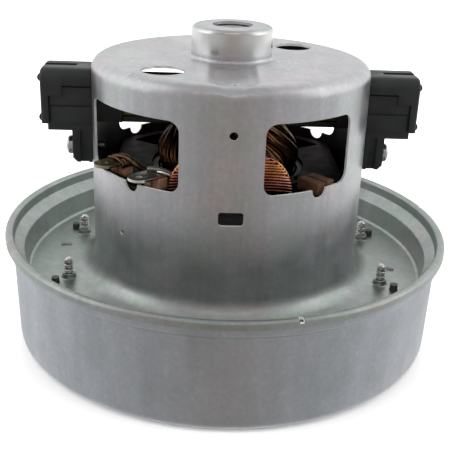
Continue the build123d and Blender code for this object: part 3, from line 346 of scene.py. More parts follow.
def bar_mesh(name, bars):
    """One mesh of closed bars."""
    mesh = bpy.data.meshes.new(name)
    made = bmesh.new()
    for verts, count in bars:
        corners = [made.verts.new(v) for v in verts]
        made.faces.new(corners[:count])
        made.faces.new(corners[count:][::-1])
        for index in range(count):
            after = (index + 1) % count
            side = (index, index + count, after + count, after)
            made.faces.new([corners[corner] for corner in side])
    bmesh.ops.recalc_face_normals(made, faces=made.faces)
    made.to_mesh(mesh)
    made.free()
    return new_object(name, mesh)


def applied(piece):
    """Turns the piece's modifiers into its mesh."""
    bpy.context.view_layer.update()
    graph = bpy.context.evaluated_depsgraph_get()
    mesh = bpy.data.meshes.new_from_object(piece.evaluated_get(graph))
    piece.modifiers.clear()
    piece.data = mesh
    return piece


def cut(piece, bars, cut_finish=None):
    """Cuts closed bars out of the piece, and gives the cut faces their own finish."""
    tool = bar_mesh("cutting_tool", bars)
    modifier = piece.modifiers.new("cut", "BOOLEAN")
    modifier.operation = "DIFFERENCE"
    modifier.solver = "EXACT"
    if cut_finish:
        tool.data.materials.append(cut_finish)
        modifier.material_mode = "TRANSFER"
    modifier.object = tool
    applied(piece)
    bpy.data.objects.remove(tool)
    return piece


def smoothed(piece, angle=35):
    for face in piece.data.polygons:
        face.use_smooth = True
    piece.data.set_sharp_from_angle(angle=math.radians(angle))
    return piece


def arc(centre, radius, start, end, steps):
    """Points on an arc in a plane, from one angle to another in degrees."""
    angles = [math.radians(start + (end - start) * part / steps) for part in range(steps + 1)]
    return [(centre[0] + radius * math.cos(turn), centre[1] + radius * math.sin(turn)) for turn in angles]


def circle(radius, sides=32, centre=(0, 0)):
    return arc(centre, radius, 0, 360, sides)[:-1]


def rectangle(width, height, radius, centre=(0, 0), notch=None):
    """A rounded rectangle, with a half-round notch (place, radius) in its lower edge where given."""
    points = []
    for across, up, start in ((1, -1, -90), (1, 1, 0), (-1, 1, 90), (-1, -1, 180)):
        corner = (centre[0] + across * (width / 2 - radius), centre[1] + up * (height / 2 - radius))
        points.extend(arc(corner, radius, start, start + 90, 8))
    if notch:
        points.extend(arc((centre[0] + notch[0], centre[1] - height / 2), notch[1], 180, 360, 12))
    return points


def spot(angle, radius):
    """The place in plan at an angle round the axis, counted from the front towards the right."""
    turn = math.radians(angle)
    return (radius * math.sin(turn), -radius * math.cos(turn))


def placed(piece, body, slot, *replaced):
    """Hangs a finished piece on its body, for the solids that it stands for, and hides them; the slot is
    not used.
    """
    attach(piece, body)
    if replaced:
        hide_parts(*replaced)
    return piece


def axis(tree, coords, letter):
    return wired(tree, "SeparateXYZ", {"Vector": coords}).outputs[letter]


def times(tree, first, second):
    return wired(tree, "Math", {0: first, 1: second}, operation="MULTIPLY").outputs["Value"]


def bumped(tree, coords, scale, detail, strength, depth, over=None):
    """A fine relief, on top of another one where it is given."""
    values = {"Height": noise(tree, coords, scale, detail), "Strength": strength, "Distance": depth}
    if over:
        values["Normal"] = over
    return wired(tree, "Bump", values).outputs["Normal"]


def can_wear_and_shade(tree, coords, colour, roughness):
    """The can's scuffed shoulder and polished boss, and painted shade: an olive darkening of everything
    out past the wall.
    """
    height = axis(tree, coords, "Z")
    high = ranged(tree, height, can_top - 5.0 * MM, can_top - 3.0 * MM)
    flecks = ranged(tree, noise(tree, coords, 950.0, 4.0), 0.60, 0.70)
    patches = ranged(tree, noise(tree, coords, 65.0), 0.50, 0.66)
    scuffs = times(tree, times(tree, flecks, patches), high)
    colour = blended(tree, scuffs, colour, (0.86, 0.87, 0.86, 1.0))
    smudges = times(tree, ranged(tree, noise(tree, coords, 48.0, 3.0), 0.54, 0.72, 0.0, 0.4), high)
    colour = blended(tree, smudges, colour, (0.76, 0.77, 0.76, 1.0))
    plan = wired(tree, "VectorMath", {0: coords, 1: (1.0, 1.0, 0.0)}, operation="MULTIPLY")
    out = wired(tree, "VectorMath", {0: plan.outputs["Vector"]}, operation="LENGTH").outputs["Value"]
    # Painted shade: the flare, flange, trough and rim, out past the wall, are darkened with an olive cast
    trough_start = can_radius + 0.3 * MM
    trough_shade_mask = ranged(tree, out, trough_start, trough_start + 1.5 * MM)
    trough_painted_shade = blended(tree, 1.0, colour, (0.70, 0.75, 0.70, 1.0), "MULTIPLY")
    colour = blended(tree, trough_shade_mask, colour, trough_painted_shade)
    boss_start = can_top + 1.2 * MM
    on_boss = ranged(tree, height, boss_start, boss_start + 1.0 * MM)
    below_face = ranged(tree, height, total_height - 1.2 * MM, total_height - 0.4 * MM, 1.0, 0.0)
    on_boss = times(tree, on_boss, below_face)
    colour = blended(tree, on_boss, colour, (0.80, 0.80, 0.79, 1.0))
    return colour, times(tree, roughness, ranged(tree, on_boss, 0.0, 1.0, 1.0, 0.5))


def zinc_steel(name, tints, rough, streak, wear_and_shade=None):
    """Satin zinc-plated steel: cloudy tints, fine specks, faint drawing streaks and tiny pits."""
    made, tree, shader, coords = material(name)
    clouds = noise(tree, coords, 75.0, 4.0)
    colour = ramp(tree, clouds, [(0.36, tints[0]), (0.5, tints[1]), (0.64, tints[2])])
    streak_shade = ramp(tree, noise(tree, coords, 1.0, 3.0, streak), [(0.3, 0.88), (0.7, 1.0)])
    colour = blended(tree, 1.0, colour, streak_shade, "MULTIPLY")
    speck_shade = ramp(tree, noise(tree, coords, 800.0), [(0.3, 0.93), (0.6, 1.0), (0.78, 1.1)])
    colour = blended(tree, 1.0, colour, speck_shade, "MULTIPLY")
    roughness = ranged(tree, noise(tree, coords, 130.0, 5.0), 0.3, 0.7, *rough)
    if wear_and_shade:
        colour, roughness = wear_and_shade(tree, coords, colour, roughness)
    pits = bumped(tree, coords, 1600.0, 2.0, 0.3, 0.00004)
    relief = bumped(tree, coords, 90.0, 2.0, 0.3, 0.0002, pits)
    inputs = {"Base Color": colour, "Roughness": roughness, "Metallic": 1.0, "Normal": relief}
    filled(tree, shader, inputs)
    return made


def substance(name, colours, rough, scale, stretch, grain, metallic, specular=0.5):
    """A finish with cloudy colour, uneven gloss and a fine grain."""
    made, tree, shader, coords = material(name)
    cloud = noise(tree, coords, scale, 4.0, stretch)
    inputs = {
        "Base Color": ramp(tree, cloud, [(0.3, colours[0]), (0.7, colours[1])]),
        "Roughness": ranged(tree, cloud, 0.3, 0.7, *rough),
        "Metallic": metallic,
        "Specular IOR Level": specular,
        "Normal": bumped(tree, coords, *grain),
    }
    filled(tree, shader, inputs)
    return made


def metal(name, colours, rough, scale=300.0, stretch=None, metallic=1.0):
    return substance(name, colours, rough, scale, stretch, (2200.0, 2.0, 0.2, 0.00003), metallic)


can_steel = zinc_steel(
    "can_steel",
    ((0.585, 0.62, 0.605), (0.62, 0.625, 0.65), (0.655, 0.62, 0.64)),
    (0.32, 0.46),
    (330.0, 330.0, 10.0),
    can_wear_and_shade,
)
# Near-black steel for the can's inner side: painted shade
inside_shade_greys = ((0.05, 0.05, 0.052), (0.10, 0.10, 0.102))
can_inside_shade = metal("can_inside_shade", inside_shade_greys, (0.5, 0.65), 120.0)
# Bright faces where windows and holes are cut: the bare steel of the cut, brightened as painted highlight
# along the edges
edge_highlight_greys = ((0.66, 0.66, 0.65), (0.80, 0.80, 0.79))
punched_edge_highlight = metal("punched_edge_highlight", edge_highlight_greys, (0.36, 0.5), 500.0, metallic=0.45)

can_path = rounded(
    [
        (boss_hole_radius, total_height, 0),
        (boss_radius, total_height, boss_bend),
        (boss_radius, can_top, boss_foot),
        (can_radius, can_top, shoulder_bend),
        (can_radius, flange_top, flare_bend),
        (trough_radius, flange_top, trough_bend),
        (ledge_radius, ledge_low, trough_bend),
        (rim_inner_radius, ledge_high, ledge_bend),
        (rim_inner_radius, rim_crest, rim_bend),
        (rim_radius, rim_crest, rim_bend),
        (rim_radius, hem_low, 0),
    ]
)
can_path = divided(can_path, step=8.0 * MM, fine_step=0.8 * MM, fine_above=can_top - 0.1 * MM)
can = turned("can_drawing", walled(can_path, -sheet))
can.data.materials.append(can_steel)

# The pressed step in front of the boss
recess_depth = 0.4 * MM
recess_edge = 2.4 * MM
recess_half_width = 7.0 * MM
recess_shoulder = 34.0 * MM
recess_nose = 2.6 * MM
recess_end = 40.6 * MM
bend_low = can_top - 4.6 * MM
places = np.zeros(len(can.data.vertices) * 3)
can.data.vertices.foreach_get("co", places)
places = places.reshape(-1, 3)
forward = -places[:, 1]
narrow = np.clip((forward - recess_shoulder) / (recess_end - recess_shoulder), 0, 1)
inside = recess_half_width + (recess_nose - recess_half_width) * narrow - np.abs(places[:, 0])
radial = np.hypot(places[:, 0], places[:, 1])
inside = np.minimum(inside, radial - boss_radius - boss_foot / 2)
inside[(forward < 0) | (places[:, 2] < bend_low) | (places[:, 2] > can_top + boss_foot)] = 0
step = np.clip(inside / recess_edge, 0, 1)
places[:, 2] -= recess_depth * step * step * (3 - 2 * step)
can.data.vertices.foreach_set("co", places.reshape(-1))

# Windows: middle angle, width, lower edge, and the place of the notch
window_height = 19.4 * MM
window_corner = 3.0 * MM
window_places = (
    (-46.0, 35.7 * MM, 55.9 * MM, 3.1 * MM),
    (31.7, 27.9 * MM, 56.3 * MM, 3.0 * MM),
    (139.4, 27.9 * MM, 55.9 * MM, -5.9 * MM),
    (-139.4, 27.9 * MM, 55.9 * MM, 5.9 * MM),
)
notch_radius = 2.5 * MM
past_wall = 46 * MM
inside_wall = 30 * MM
past_rim = rim_radius + 2 * MM
hole_reach = 2.5 * MM
bars = []
for middle, width, low, notch_place in window_places:
    notch = (notch_place, notch_radius)
    outline = rectangle(width, window_height, window_corner, (0, window_height / 2), notch)
    bars.append(prism(outline, middle, inside_wall, past_wall, low))

# Holes in the wall: outline, angle and level
holder_opening = rectangle(12.6 * MM, 15.4 * MM, 0.3 * MM)
foot_screw_hole = circle(1.52 * MM)
core_slot = rectangle(6.7 * MM, 3.85 * MM, 0.8 * MM)
wall_holes = (
    (holder_opening, -90, brush_axis),
    (foot_screw_hole, -90, foot_screw_level),
    (holder_opening, 90, brush_axis),
    (foot_screw_hole, 90, foot_screw_level),
    (circle(1.15 * MM), 0, 72.6 * MM),
    (core_slot, 0, 49.97 * MM),
    (circle(0.8 * MM), -47.2, 40.2 * MM),
)
for outline, angle, level in wall_holes:
    bars.append(prism(outline, angle, inside_wall, past_wall, level))

# Holes in the top and the flange: angles, distance from the axis, radius, sides and middle level
screw_angles = (-110.0, -70.0, 70.0, 110.0)
screw_circle = 50.0 * MM
screw_hole = 1.5 * MM
flat_holes = (
    ((-40.4,), 29.2 * MM, 6.0 * MM, 64, can_top),
    ((133.4,), 27.2 * MM, 5.7 * MM, 64, can_top),
    (screw_angles, screw_circle, screw_hole, 24, flange_top),
    ((-112.5, -67.5, 67.5, 112.5), 54.6 * MM, 1.35 * MM, 24, flange_top),
    ((-97.6, 82.4), 52.0 * MM, 2.0 * MM, 32, flange_top),
)
for angles, distance, radius, sides, level in flat_holes:
    for angle in angles:
        outline = circle(radius, sides, spot(angle, distance))
        bars.append(pillar(outline, level - hole_reach, level + hole_reach))

# Shallow crimps that hold the rim on the fan cover
crimp = rectangle(1.2 * MM, 3.0 * MM, 0.1 * MM)
crimp_depth = 1.6 * MM
for angle in (15.0, 101.8, -165.0, -71.7):
    bars.append(prism(crimp, angle, rim_radius - crimp_depth, past_rim, rim_crest + 0.5 * MM))
cut(can, bars, punched_edge_highlight)

# The wall's and the top's inner side get near-black steel: painted shade for the can's dark inside
can.data.materials.append(can_inside_shade)
inside_shade_slot = len(can.data.materials) - 1
for face in can.data.polygons:
    centre = face.center
    out = math.hypot(centre.x, centre.y)
    facing_in = centre.x * face.normal.x + centre.y * face.normal.y < 0
    wall_side = facing_in and out < can_radius - 0.6 * sheet and centre.z < can_top - 3 * MM
    top_side = out < can_radius and bend_low < centre.z < total_height and face.normal.z < -0.2
    if face.material_index == 0 and centre.z > flange_top + 2 * MM and (wall_side or top_side):
        face.material_index = inside_shade_slot

# A collar pulled up round each screw hole, and the weld nub at the end of the pressed step
collar_path = [(screw_hole, flange_top - 0.3 * MM)]
collar_profile = (
    (1.5, 1.55), (1.62, 1.6), (1.82, 1.6), (1.97, 1.4),
    (1.97, 0.5), (2.15, 0.15), (2.5, -0.02), (2.5, -0.3),
)
collar_path.extend((out * MM, flange_top + up * MM) for out, up in collar_profile)
collars = [turned("collar", collar_path, 32, spot(angle, screw_circle)) for angle in screw_angles]
nub_height = can_top - recess_depth
nub_profile = ((0, -0.4), (1.3, -0.4), (1.1, 0.05), (0.7, 0.3), (0, 0.4))
nub_path = [(out * MM, nub_height + up * MM) for out, up in nub_profile]
collars.append(turned("nub", nub_path, 24, (0, -35.2 * MM)))
smoothed(joined(can, *collars))
placed(can, "root", "can_steel", "motor_can")

# Stator core. A stack of punched electrical sheets pressed into the can, with the sheets' edges showing
# on its outside and inside. Its steel is near-black: painted shade of the dark inside.


def repainted(finish, *names):
    """Gives CAD solids whose shape is right their finish."""
    for name in names:
        nodes[name].data.materials.clear()
        nodes[name].data.materials.append(finish)


core_shade_greys = ((0.012, 0.012, 0.013), (0.05, 0.05, 0.052))
lamination_shade = metal("lamination_shade", core_shade_greys, (0.5, 0.65), 160.0, (1, 1, 16))
repainted(lamination_shade, "stator_core")

# Field coils. Enamelled copper wire, wound in loops round each pole, whose end turns lie one on the other
# and turn down into the slots at their ends.
coil_turn = math.radians(11.0)
coil_top_centre = 54.6 * MM
coil_middle = 43.5 * MM
coil_wire = 0.34 * MM
coil_loops = 12
loop_pitch = 0.83 * MM
first_reach = 1.25 * MM
last_reach = 10.85 * MM
winding_face = 33.4 * MM
band_outer = 32.6 * MM
layer_pitch = 0.78 * MM
inner_layers = 7
front_pitch = 0.8 * MM
front_sag = 1.3 * MM


def grown(name, tree, values, finish, source=None):
    """Runs a Geometry Nodes tree, with its named inputs set, and keeps its plain mesh."""
    piece = new_object(name, source or bpy.data.meshes.new(name))
    modifier = piece.modifiers.new(name, "NODES")
    modifier.node_group = tree
    for socket in tree.interface.items_tree:
        if socket.in_out == "INPUT" and socket.name in values:
            modifier[socket.identifier] = values[socket.name]
    for node in tree.nodes:
        if node.bl_idname == "GeometryNodeSetMaterial":
            node.inputs["Material"].default_value = finish
    applied(piece)
    piece.data.materials.clear()
    piece.data.materials.append(finish)
    return piece


def tree_of(name, sizes, chain):
    """A Geometry Nodes tree with named inputs, built from a chain of (key, kind, settings, inputs)."""
    tree = bpy.data.node_groups.new(name, "GeometryNodeTree")
    tree.interface.new_socket("Geometry", in_out="INPUT", socket_type="NodeSocketGeometry")
    for label, kind in sizes:
        tree.interface.new_socket(label, in_out="INPUT", socket_type="NodeSocket" + kind)
    tree.interface.new_socket("Geometry", in_out="OUTPUT", socket_type="NodeSocketGeometry")
    made = {"sizes": tree.nodes.new("NodeGroupInput")}
    for key, kind, settings, inputs in chain:
        node = made[key] = tree.nodes.new(kind)
        for setting, value in settings.items():
            setattr(node, setting, value)
        for socket, value in inputs.items():
            if isinstance(value, tuple) and value[0] in made:
                tree.links.new(made[value[0]].outputs[value[1]], node.inputs[socket])
            else:
                node.inputs[socket].default_value = value
    shown = tree.nodes.new("NodeGroupOutput")
    tree.links.new(made[chain[-1][0]].outputs["Geometry"], shown.inputs["Geometry"])
    return tree


wire_tree = tree_of(
    "laid_wire",
    [("Copies", "Int"), ("Wire Radius", "Float"), ("Sides", "Int"), ("Smoothness", "Int")],
    [
        ("line", "GeometryNodeMeshToCurve", {}, {"Mesh": ("sizes", "Geometry")}),
        ("kind", "GeometryNodeCurveSplineType", {"spline_type": "CATMULL_ROM"},
         {"Curve": ("line", "Curve")}),
        ("fine", "GeometryNodeSetSplineResolution", {},
         {"Geometry": ("kind", "Curve"), "Resolution": ("sizes", "Smoothness")}),
        ("section", "GeometryNodeCurvePrimitiveCircle", {},
         {"Resolution": ("sizes", "Sides"), "Radius": ("sizes", "Wire Radius")}),
        ("swept", "GeometryNodeCurveToMesh", {},
         {"Curve": ("fine", "Geometry"), "Profile Curve": ("section", "Curve"), "Fill Caps": True}),
        ("share", "ShaderNodeMath", {"operation": "DIVIDE"}, {0: 2 * math.pi, 1: ("sizes", "Copies")}),
        ("index", "GeometryNodeInputIndex", {}, {}),
        ("angle", "ShaderNodeMath", {"operation": "MULTIPLY"},
         {0: ("index", "Index"), 1: ("share", "Value")}),
        ("turn", "ShaderNodeCombineXYZ", {}, {"Z": ("angle", "Value")}),
        ("spots", "GeometryNodeMeshLine", {}, {"Count": ("sizes", "Copies"), "Offset": (0.0, 0.0, 0.0)}),
        ("laid", "GeometryNodeInstanceOnPoints", {},
         {"Points": ("spots", "Mesh"), "Instance": ("swept", "Mesh"), "Rotation": ("turn", "Vector")}),
        ("real", "GeometryNodeRealizeInstances", {}, {"Geometry": ("laid", "Instances")}),
        ("painted", "GeometryNodeSetMaterial", {}, {"Geometry": ("real", "Geometry")}),
    ],
)


def wires(name, lines, radius, finish, closed=False, copies=1, sides=6, smoothness=3):
    """Round wires along smooth lines of points, and copies of them round the axis."""
    verts = []
    edges = []
    for line in lines:
        start = len(verts)
        verts.extend(line)
        edges.extend((start + index, start + index + 1) for index in range(len(line) - 1))
        if closed:
            edges.append((start + len(line) - 1, start))
    mesh = bpy.data.meshes.new(name)
    mesh.from_pydata(verts, edges, [])
    sizes = {"Copies": copies, "Wire Radius": radius, "Sides": sides, "Smoothness": smoothness}
    return grown(name, wire_tree, sizes, finish, mesh)


def on_band(reach, height, face):
    """A place on the coil's bent band, at a reach from its middle, a level and a radius."""
    bend = face * coil_turn
    if abs(reach) <= bend:
        turn = reach / face
        return Vector((face * math.sin(turn), -face * math.cos(turn), height))
    side = math.copysign(1, reach)
    out = Vector((side * math.sin(coil_turn), -math.cos(coil_turn), 0))
    across = Vector((side * math.cos(coil_turn), math.sin(coil_turn), 0))
    return out * face + across * (abs(reach) - bend) + Vector((0, 0, height))


def ringed(quarter, face):
    """A closed loop from its upper right quarter: points of (reach, height, depth behind the face)."""
    low = [(reach, 2 * coil_middle - height, depth) for reach, height, depth in reversed(quarter)]
    left = [(-reach, height, depth) for reach, height, depth in reversed(low) if reach]
    top = [(-reach, height, depth) for reach, height, depth in reversed(quarter) if reach]
    return [on_band(reach, height, face - depth) for reach, height, depth in quarter + low + left + top]


def coil_lines(seed):
    """The loops of one coil in front of its pole."""
    random.seed(seed)
    lines = []
    for loop in range(coil_loops):
        wander = random.uniform(-0.1, 0.1) * MM
        lift = random.uniform(-0.12, 0.12) * MM
        bend = winding_face * coil_turn
        rise = first_reach + front_pitch * loop
        level = coil_top_centre + rise + lift
        end = bend + math.sqrt(last_reach**2 - rise**2)
        sag = (front_sag + random.uniform(-0.25, 0.25) * MM) * (end / (bend + last_reach)) ** 2
        quarter = [
            (0, level, wander),
            (0.45 * end, level - 0.15 * sag, wander),
            (0.75 * end, level - 0.5 * sag, wander + 0.05 * MM),
            (end - 0.9 * MM, level - 0.9 * sag, wander + 0.1 * MM),
            (end - 0.1 * MM, level - 1.2 * sag, wander + 0.6 * MM),
            (end, level - 1.2 * sag - 1.0 * MM, 1.25 * MM),
            (end - 0.2 * MM, coil_top_centre - 1.5 * MM, 1.3 * MM),
            (end - 0.2 * MM, coil_middle + 2.0 * MM, 1.3 * MM),
        ]
        lines.append(ringed(quarter, winding_face))
    for layer in range(inner_layers):
        face = band_outer - layer_pitch * layer
        bend = face * coil_turn
        for loop in range(coil_loops):
            reach = first_reach + loop_pitch * loop + random.uniform(-0.08, 0.08) * MM
            depth = random.uniform(-0.1, 0.1) * MM
            quarter = [(0, coil_top_centre + reach, depth), (0.6 * bend, coil_top_centre + reach, depth)]
            for turn in range(0, 91, 18):
                share = math.radians(turn)
                along = bend + reach * math.sin(share)
                quarter.append((along, coil_top_centre + reach * math.cos(share), depth))
            quarter.append((bend + reach, coil_middle + 2.0 * MM, depth))
            lines.append(ringed(quarter, face))
    return lines


field_copper, tree, shader, coords = material("field_copper")
patches = noise(tree, coords, 150.0, 3.0)
pink_stops = [(0.36, (0.36, 0.09, 0.07)), (0.5, (0.62, 0.20, 0.15)), (0.66, (0.84, 0.42, 0.34))]
highlight_gold_stops = [(0.36, (0.55, 0.20, 0.07)), (0.5, (0.85, 0.42, 0.15)), (0.66, (0.95, 0.62, 0.34))]
pink = ramp(tree, patches, pink_stops)
highlight_gold = ramp(tree, patches, highlight_gold_stops)
height = axis(tree, coords, "Z")
# Painted highlight: a gold band on the coils, about 58.6 to 64.1 mm high
highlight_band_stops = [(0.38, 0.0), (0.52, 0.9), (0.68, 0.9), (0.84, 0.0)]
highlight_band = ramp(tree, ranged(tree, height, 54.0 * MM, 66.0 * MM), highlight_band_stops)
# Painted shade: the copper darkened towards the bottom, down to 0.3 below 55.5 mm
low_shade = ranged(tree, height, 55.5 * MM, 58.5 * MM, 0.3, 1.0)
inputs = {
    "Base Color": blended(tree, 1.0, blended(tree, highlight_band, pink, highlight_gold), low_shade, "MULTIPLY"),
    "Roughness": ranged(tree, noise(tree, coords, 500.0, 3.0), 0.3, 0.7, 0.22, 0.34),
    "Metallic": 1.0,
    "Coat Weight": 0.4,
    "Coat Roughness": 0.25,
}
filled(tree, shader, inputs)
for side, turn, seed in (("front", 0.0, 11), ("back", math.pi, 23)):
    lines = coil_lines(seed)
    coil = wires(f"field_coil_wires_{side}", lines, coil_wire, field_copper, closed=True, smoothness=2)
    coil.data.transform(Matrix.Rotation(turn, 4, "Z"))
    placed(smoothed(coil, 60), "root", "wire_copper", f"field_coil_{side}", f"field_winding_{side}")

# Coil insulators. Brown mouldings on both ends of the stack, near-black as painted shade except on the
# blocks. The upper one has two blocks that carry the terminals and one that holds the supply wires, each
# with a slit.


def dressed(node, name, body, slot, finish, bevel):
    """A CAD solid with its edges broken and its curves smooth."""
    mesh = nodes[node].data.copy()
    whole = bmesh.new()
    whole.from_mesh(mesh)
    bmesh.ops.remove_doubles(whole, verts=whole.verts, dist=2e-6)
    bmesh.ops.dissolve_limit(whole, angle_limit=math.radians(1.0), verts=whole.verts, edges=whole.edges)
    whole.to_mesh(mesh)
    whole.free()
    piece = new_object(name, mesh)
    if bevel:
        modifier = piece.modifiers.new("bevel", "BEVEL")
        modifier.width = bevel
        modifier.segments = 2
        modifier.limit_method = "ANGLE"
        modifier.angle_limit = math.radians(30)
        applied(piece)
    smoothed(piece)
    piece.data.materials.clear()
    piece.data.materials.append(finish)
    return placed(piece, body, slot, node) if slot else piece


brown_insulator, tree, shader, coords = material("brown_insulator")
dust = noise(tree, coords, 260.0, 4.0)
# Painted shade: the moulding is near-black, with brown only above 53.2 mm, and only a quarter of that
# right of x = -4 mm
shade_brown = ramp(tree, dust, [(0.3, (0.003, 0.002, 0.0015)), (0.7, (0.008, 0.004, 0.003))])
block_brown = ramp(tree, dust, [(0.3, (0.26, 0.12, 0.065)), (0.7, (0.42, 0.25, 0.16))])
on_blocks = ranged(tree, axis(tree, coords, "Z"), 53.2 * MM, 54.4 * MM)
on_left = ranged(tree, axis(tree, coords, "X"), -8.0 * MM, -4.0 * MM, 1.0, 0.25)
inputs = {
    "Base Color": blended(tree, times(tree, on_blocks, on_left), shade_brown, block_brown),
    "Roughness": ranged(tree, dust, 0.3, 0.7, 0.55, 0.75),
    "Specular IOR Level": 0.08,
}
filled(tree, shader, inputs)
dressed(
    "coil_insulator_upper",
    "insulator_moulding",
    "root",
    "brown_insulator",
    brown_insulator,
    0.2 * MM,
)
repainted(brown_insulator, "coil_insulator_lower")

# Terminals. Two punched blades for the supply, one tinned and one of brass, that lie on the insulator's
# blocks. The wires are wound and soldered on at their inner ends.
terminal_out = Vector((-0.7373, -0.6756, 0.0))
terminal_across = Vector((0.6756, -0.7373, 0.0))
terminal_top = 57.6 * MM
tab_tin = metal("tab_tin", ((0.20, 0.185, 0.16), (0.30, 0.28, 0.25)), (0.38, 0.5), 120.0)
tab_brass = metal("tab_brass", ((0.26, 0.24, 0.14), (0.46, 0.43, 0.28)), (0.3, 0.45), 160.0)
# Bright tin: painted highlight on the blade's edges and the folded tag
tin_highlight = metal("tin_highlight", ((0.80, 0.77, 0.70), (0.90, 0.88, 0.82)), (0.25, 0.35), 300.0)
varnished_wire = metal("varnished_wire", ((0.10, 0.055, 0.03), (0.26, 0.16, 0.09)), (0.3, 0.5), 500.0)


def over_blades(*points):
    """Places over the terminals, from mm outwards, across, and above the blades' top."""
    places = []
    for out, across, height in points:
        level = Vector((0, 0, terminal_top + height * MM))
        places.append(terminal_out * out * MM + terminal_across * across * MM + level)
    return places


front_blade = dressed("terminal_front", "terminal_front_blade", None, None, tab_tin, 0.12 * MM)
# Painted highlight: the blade's side faces get the bright tin
front_blade.data.materials.append(tin_highlight)
for face in front_blade.data.polygons:
    if abs(face.normal.z) < 0.5:
        face.material_index = 1
fold = over_blades(
    (32.6, 6.2, 0.35), (32.4, 8.0, 0.55), (31.4, 9.6, 0.1), (30.0, 10.4, -0.9), (28.6, 10.2, -1.6)
)
tag = wires("tag", [fold], 0.42 * MM, tin_highlight, sides=8)
crimped = over_blades((33.2, 2.6, 0.3), (32.2, 4.8, 0.6), (31.0, 7.4, 0.5), (29.4, 9.4, -0.4))
barrel = wires("barrel", [crimped], 0.72 * MM, tab_tin, sides=10)
placed(smoothed(joined(front_blade, tag, barrel), 50), "root", "tab_tin", "terminal_front")

side_blade = dressed("terminal_side", "terminal_side_blade", None, None, tab_brass, 0.12 * MM)
random.seed(5)
wraps = []
for turn in range(5):
    out = 31.6 + 0.85 * turn
    lean = out + random.uniform(-0.4, 0.4)
    crown = 0.9 + random.uniform(-0.2, 0.3)
    outer = ((out, -13.4, -0.4), (lean, -12.4, 0.55), (lean, -9.9, crown))
    inner = ((lean, -7.4, 0.6), (out, -6.2, -0.4), (out, -6.8, -1.4))
    wraps.append(over_blades(*outer, *inner))
wrapping = wires("wrapping", wraps, 0.42 * MM, varnished_wire, sides=8)
tail = over_blades(
    (34.6, -11.5, 0.7), (33.6, -8.6, 1.2), (33.0, -5.8, 0.9), (32.4, -3.6, -0.3), (30.4, -2.6, -2.0)
)
pigtail = wires("pigtail", [tail], 0.8 * MM, varnished_wire, sides=10)
placed(smoothed(joined(side_blade, wrapping, pigtail), 50), "root", "tab_brass", "terminal_side")

# Armature. A stack of punched sheets with 22 slots on the shaft, wound with thick varnished copper wire.
# From each commutator bar a lead slants down to the winding's shoulder.
# The armature core gets the same near-black steel: painted shade
repainted(lamination_shade, "armature_core")
slots = 22
bar_step = 360 / slots
strand_wire = 0.42 * MM
lead_wire = 0.46 * MM
# Dark varnished copper, darkened further as painted shade of the dark inside
armature_copper_shade = metal("armature_copper_shade", ((0.07, 0.028, 0.015), (0.22, 0.10, 0.05)), (0.3, 0.45), 180.0)
under_copper_shade = metal("under_copper_shade", ((0.03, 0.012, 0.008), (0.08, 0.03, 0.018)), (0.45, 0.6), 400.0)
lead_copper, tree, shader, coords = material("lead_copper")
cloud = noise(tree, coords, 150.0, 4.0)
varnish = ramp(tree, cloud, [(0.35, (0.05, 0.024, 0.012)), (0.65, (0.12, 0.065, 0.035))])
lead_highlight_stops = [(0.38, (0.48, 0.17, 0.12)), (0.5, (0.66, 0.42, 0.14)), (0.64, (0.85, 0.52, 0.36))]
lead_highlight = ramp(tree, cloud, lead_highlight_stops)
# Painted highlight: the leads turn bright copper on the rotor's right side, from x = 6 to 10 mm; dark
# varnish elsewhere
painted_light_mask = ranged(tree, axis(tree, coords, "X"), 6.0 * MM, 10.0 * MM)
inputs = {
    "Base Color": blended(tree, painted_light_mask, varnish, lead_highlight),
    "Roughness": ranged(tree, cloud, 0.3, 0.7, 0.24, 0.36),
    "Metallic": 1.0,
}
filled(tree, shader, inputs)


def wound(*points):
    """Places from (angle, radius, height) in degrees and mm."""
    return [Vector((*spot(angle, radius * MM), height * MM)) for angle, radius, height in points]


winding = dressed("armature_winding", "armature_wires", None, None, under_copper_shade, 0)
end_turns = []
for strand in range(3):
    start = bar_step * strand / 3
    lift = 0.12 * strand
    rising = ((start, 19.7, 51.6), (start - 1, 20.5, 54.6), (start - 4, 20.9 + lift / 2, 57.4))
    turning = ((start - 9, 19.6, 60.4 + lift), (start - 17, 17.2, 62.9 + lift))
    inward = ((start - 30, 14.0, 64.2), (start - 48, 10.4, 64.4), (start - 66, 8.6, 63.8))
    end_turns.append(wound(*rising, *turning, *inward))
over = wires("end_turns", end_turns, strand_wire, armature_copper_shade, copies=slots)
half = bar_step / 2
long_lead = (
    (0, 14.6, 66.3), (4, 15.9, 65.2), (10, 17.7, 62.9),
    (17, 19.6, 60.4), (22, 20.75, 57.9), (25, 20.7, 55.0),
)
short_lead = ((-3, 14.3, 66.0), (1.5, 15.8, 64.8), (8, 17.6, 62.3), (15, 19.6, 59.6), (20, 20.6, 57.0))
leads = [wound(*((half + turn, *rest) for turn, *rest in lead)) for lead in (long_lead, short_lead)]
risers = wires("leads", leads, lead_wire, lead_copper, copies=slots, sides=8)
low_strand = ((0, 19.7, 35.4), (-3, 20.2, 31.5), (-8, 19.4, 28.4), (-20, 16.6, 27.1))
lower_turns = []
for start in (0.0, 5.5, 11.0):
    lower_turns.append(wound(*((start + turn, *rest) for turn, *rest in low_strand)))
under = wires("lower_turns", lower_turns, strand_wire, armature_copper_shade, copies=slots)
placed(smoothed(joined(winding, over, risers, under), 60), "rotor", "wire_copper", "armature_winding")

# Commutator. Hard-drawn copper bars with bright running faces, round a moulded hub of dark resin that
# is pressed on the shaft.


def plastic(name, colours, rough, scale=200.0, grain=(2600.0, 2.0, 0.25, 0.00004), specular=0.5):
    return substance(name, colours, rough, scale, None, grain, 0.0, specular)


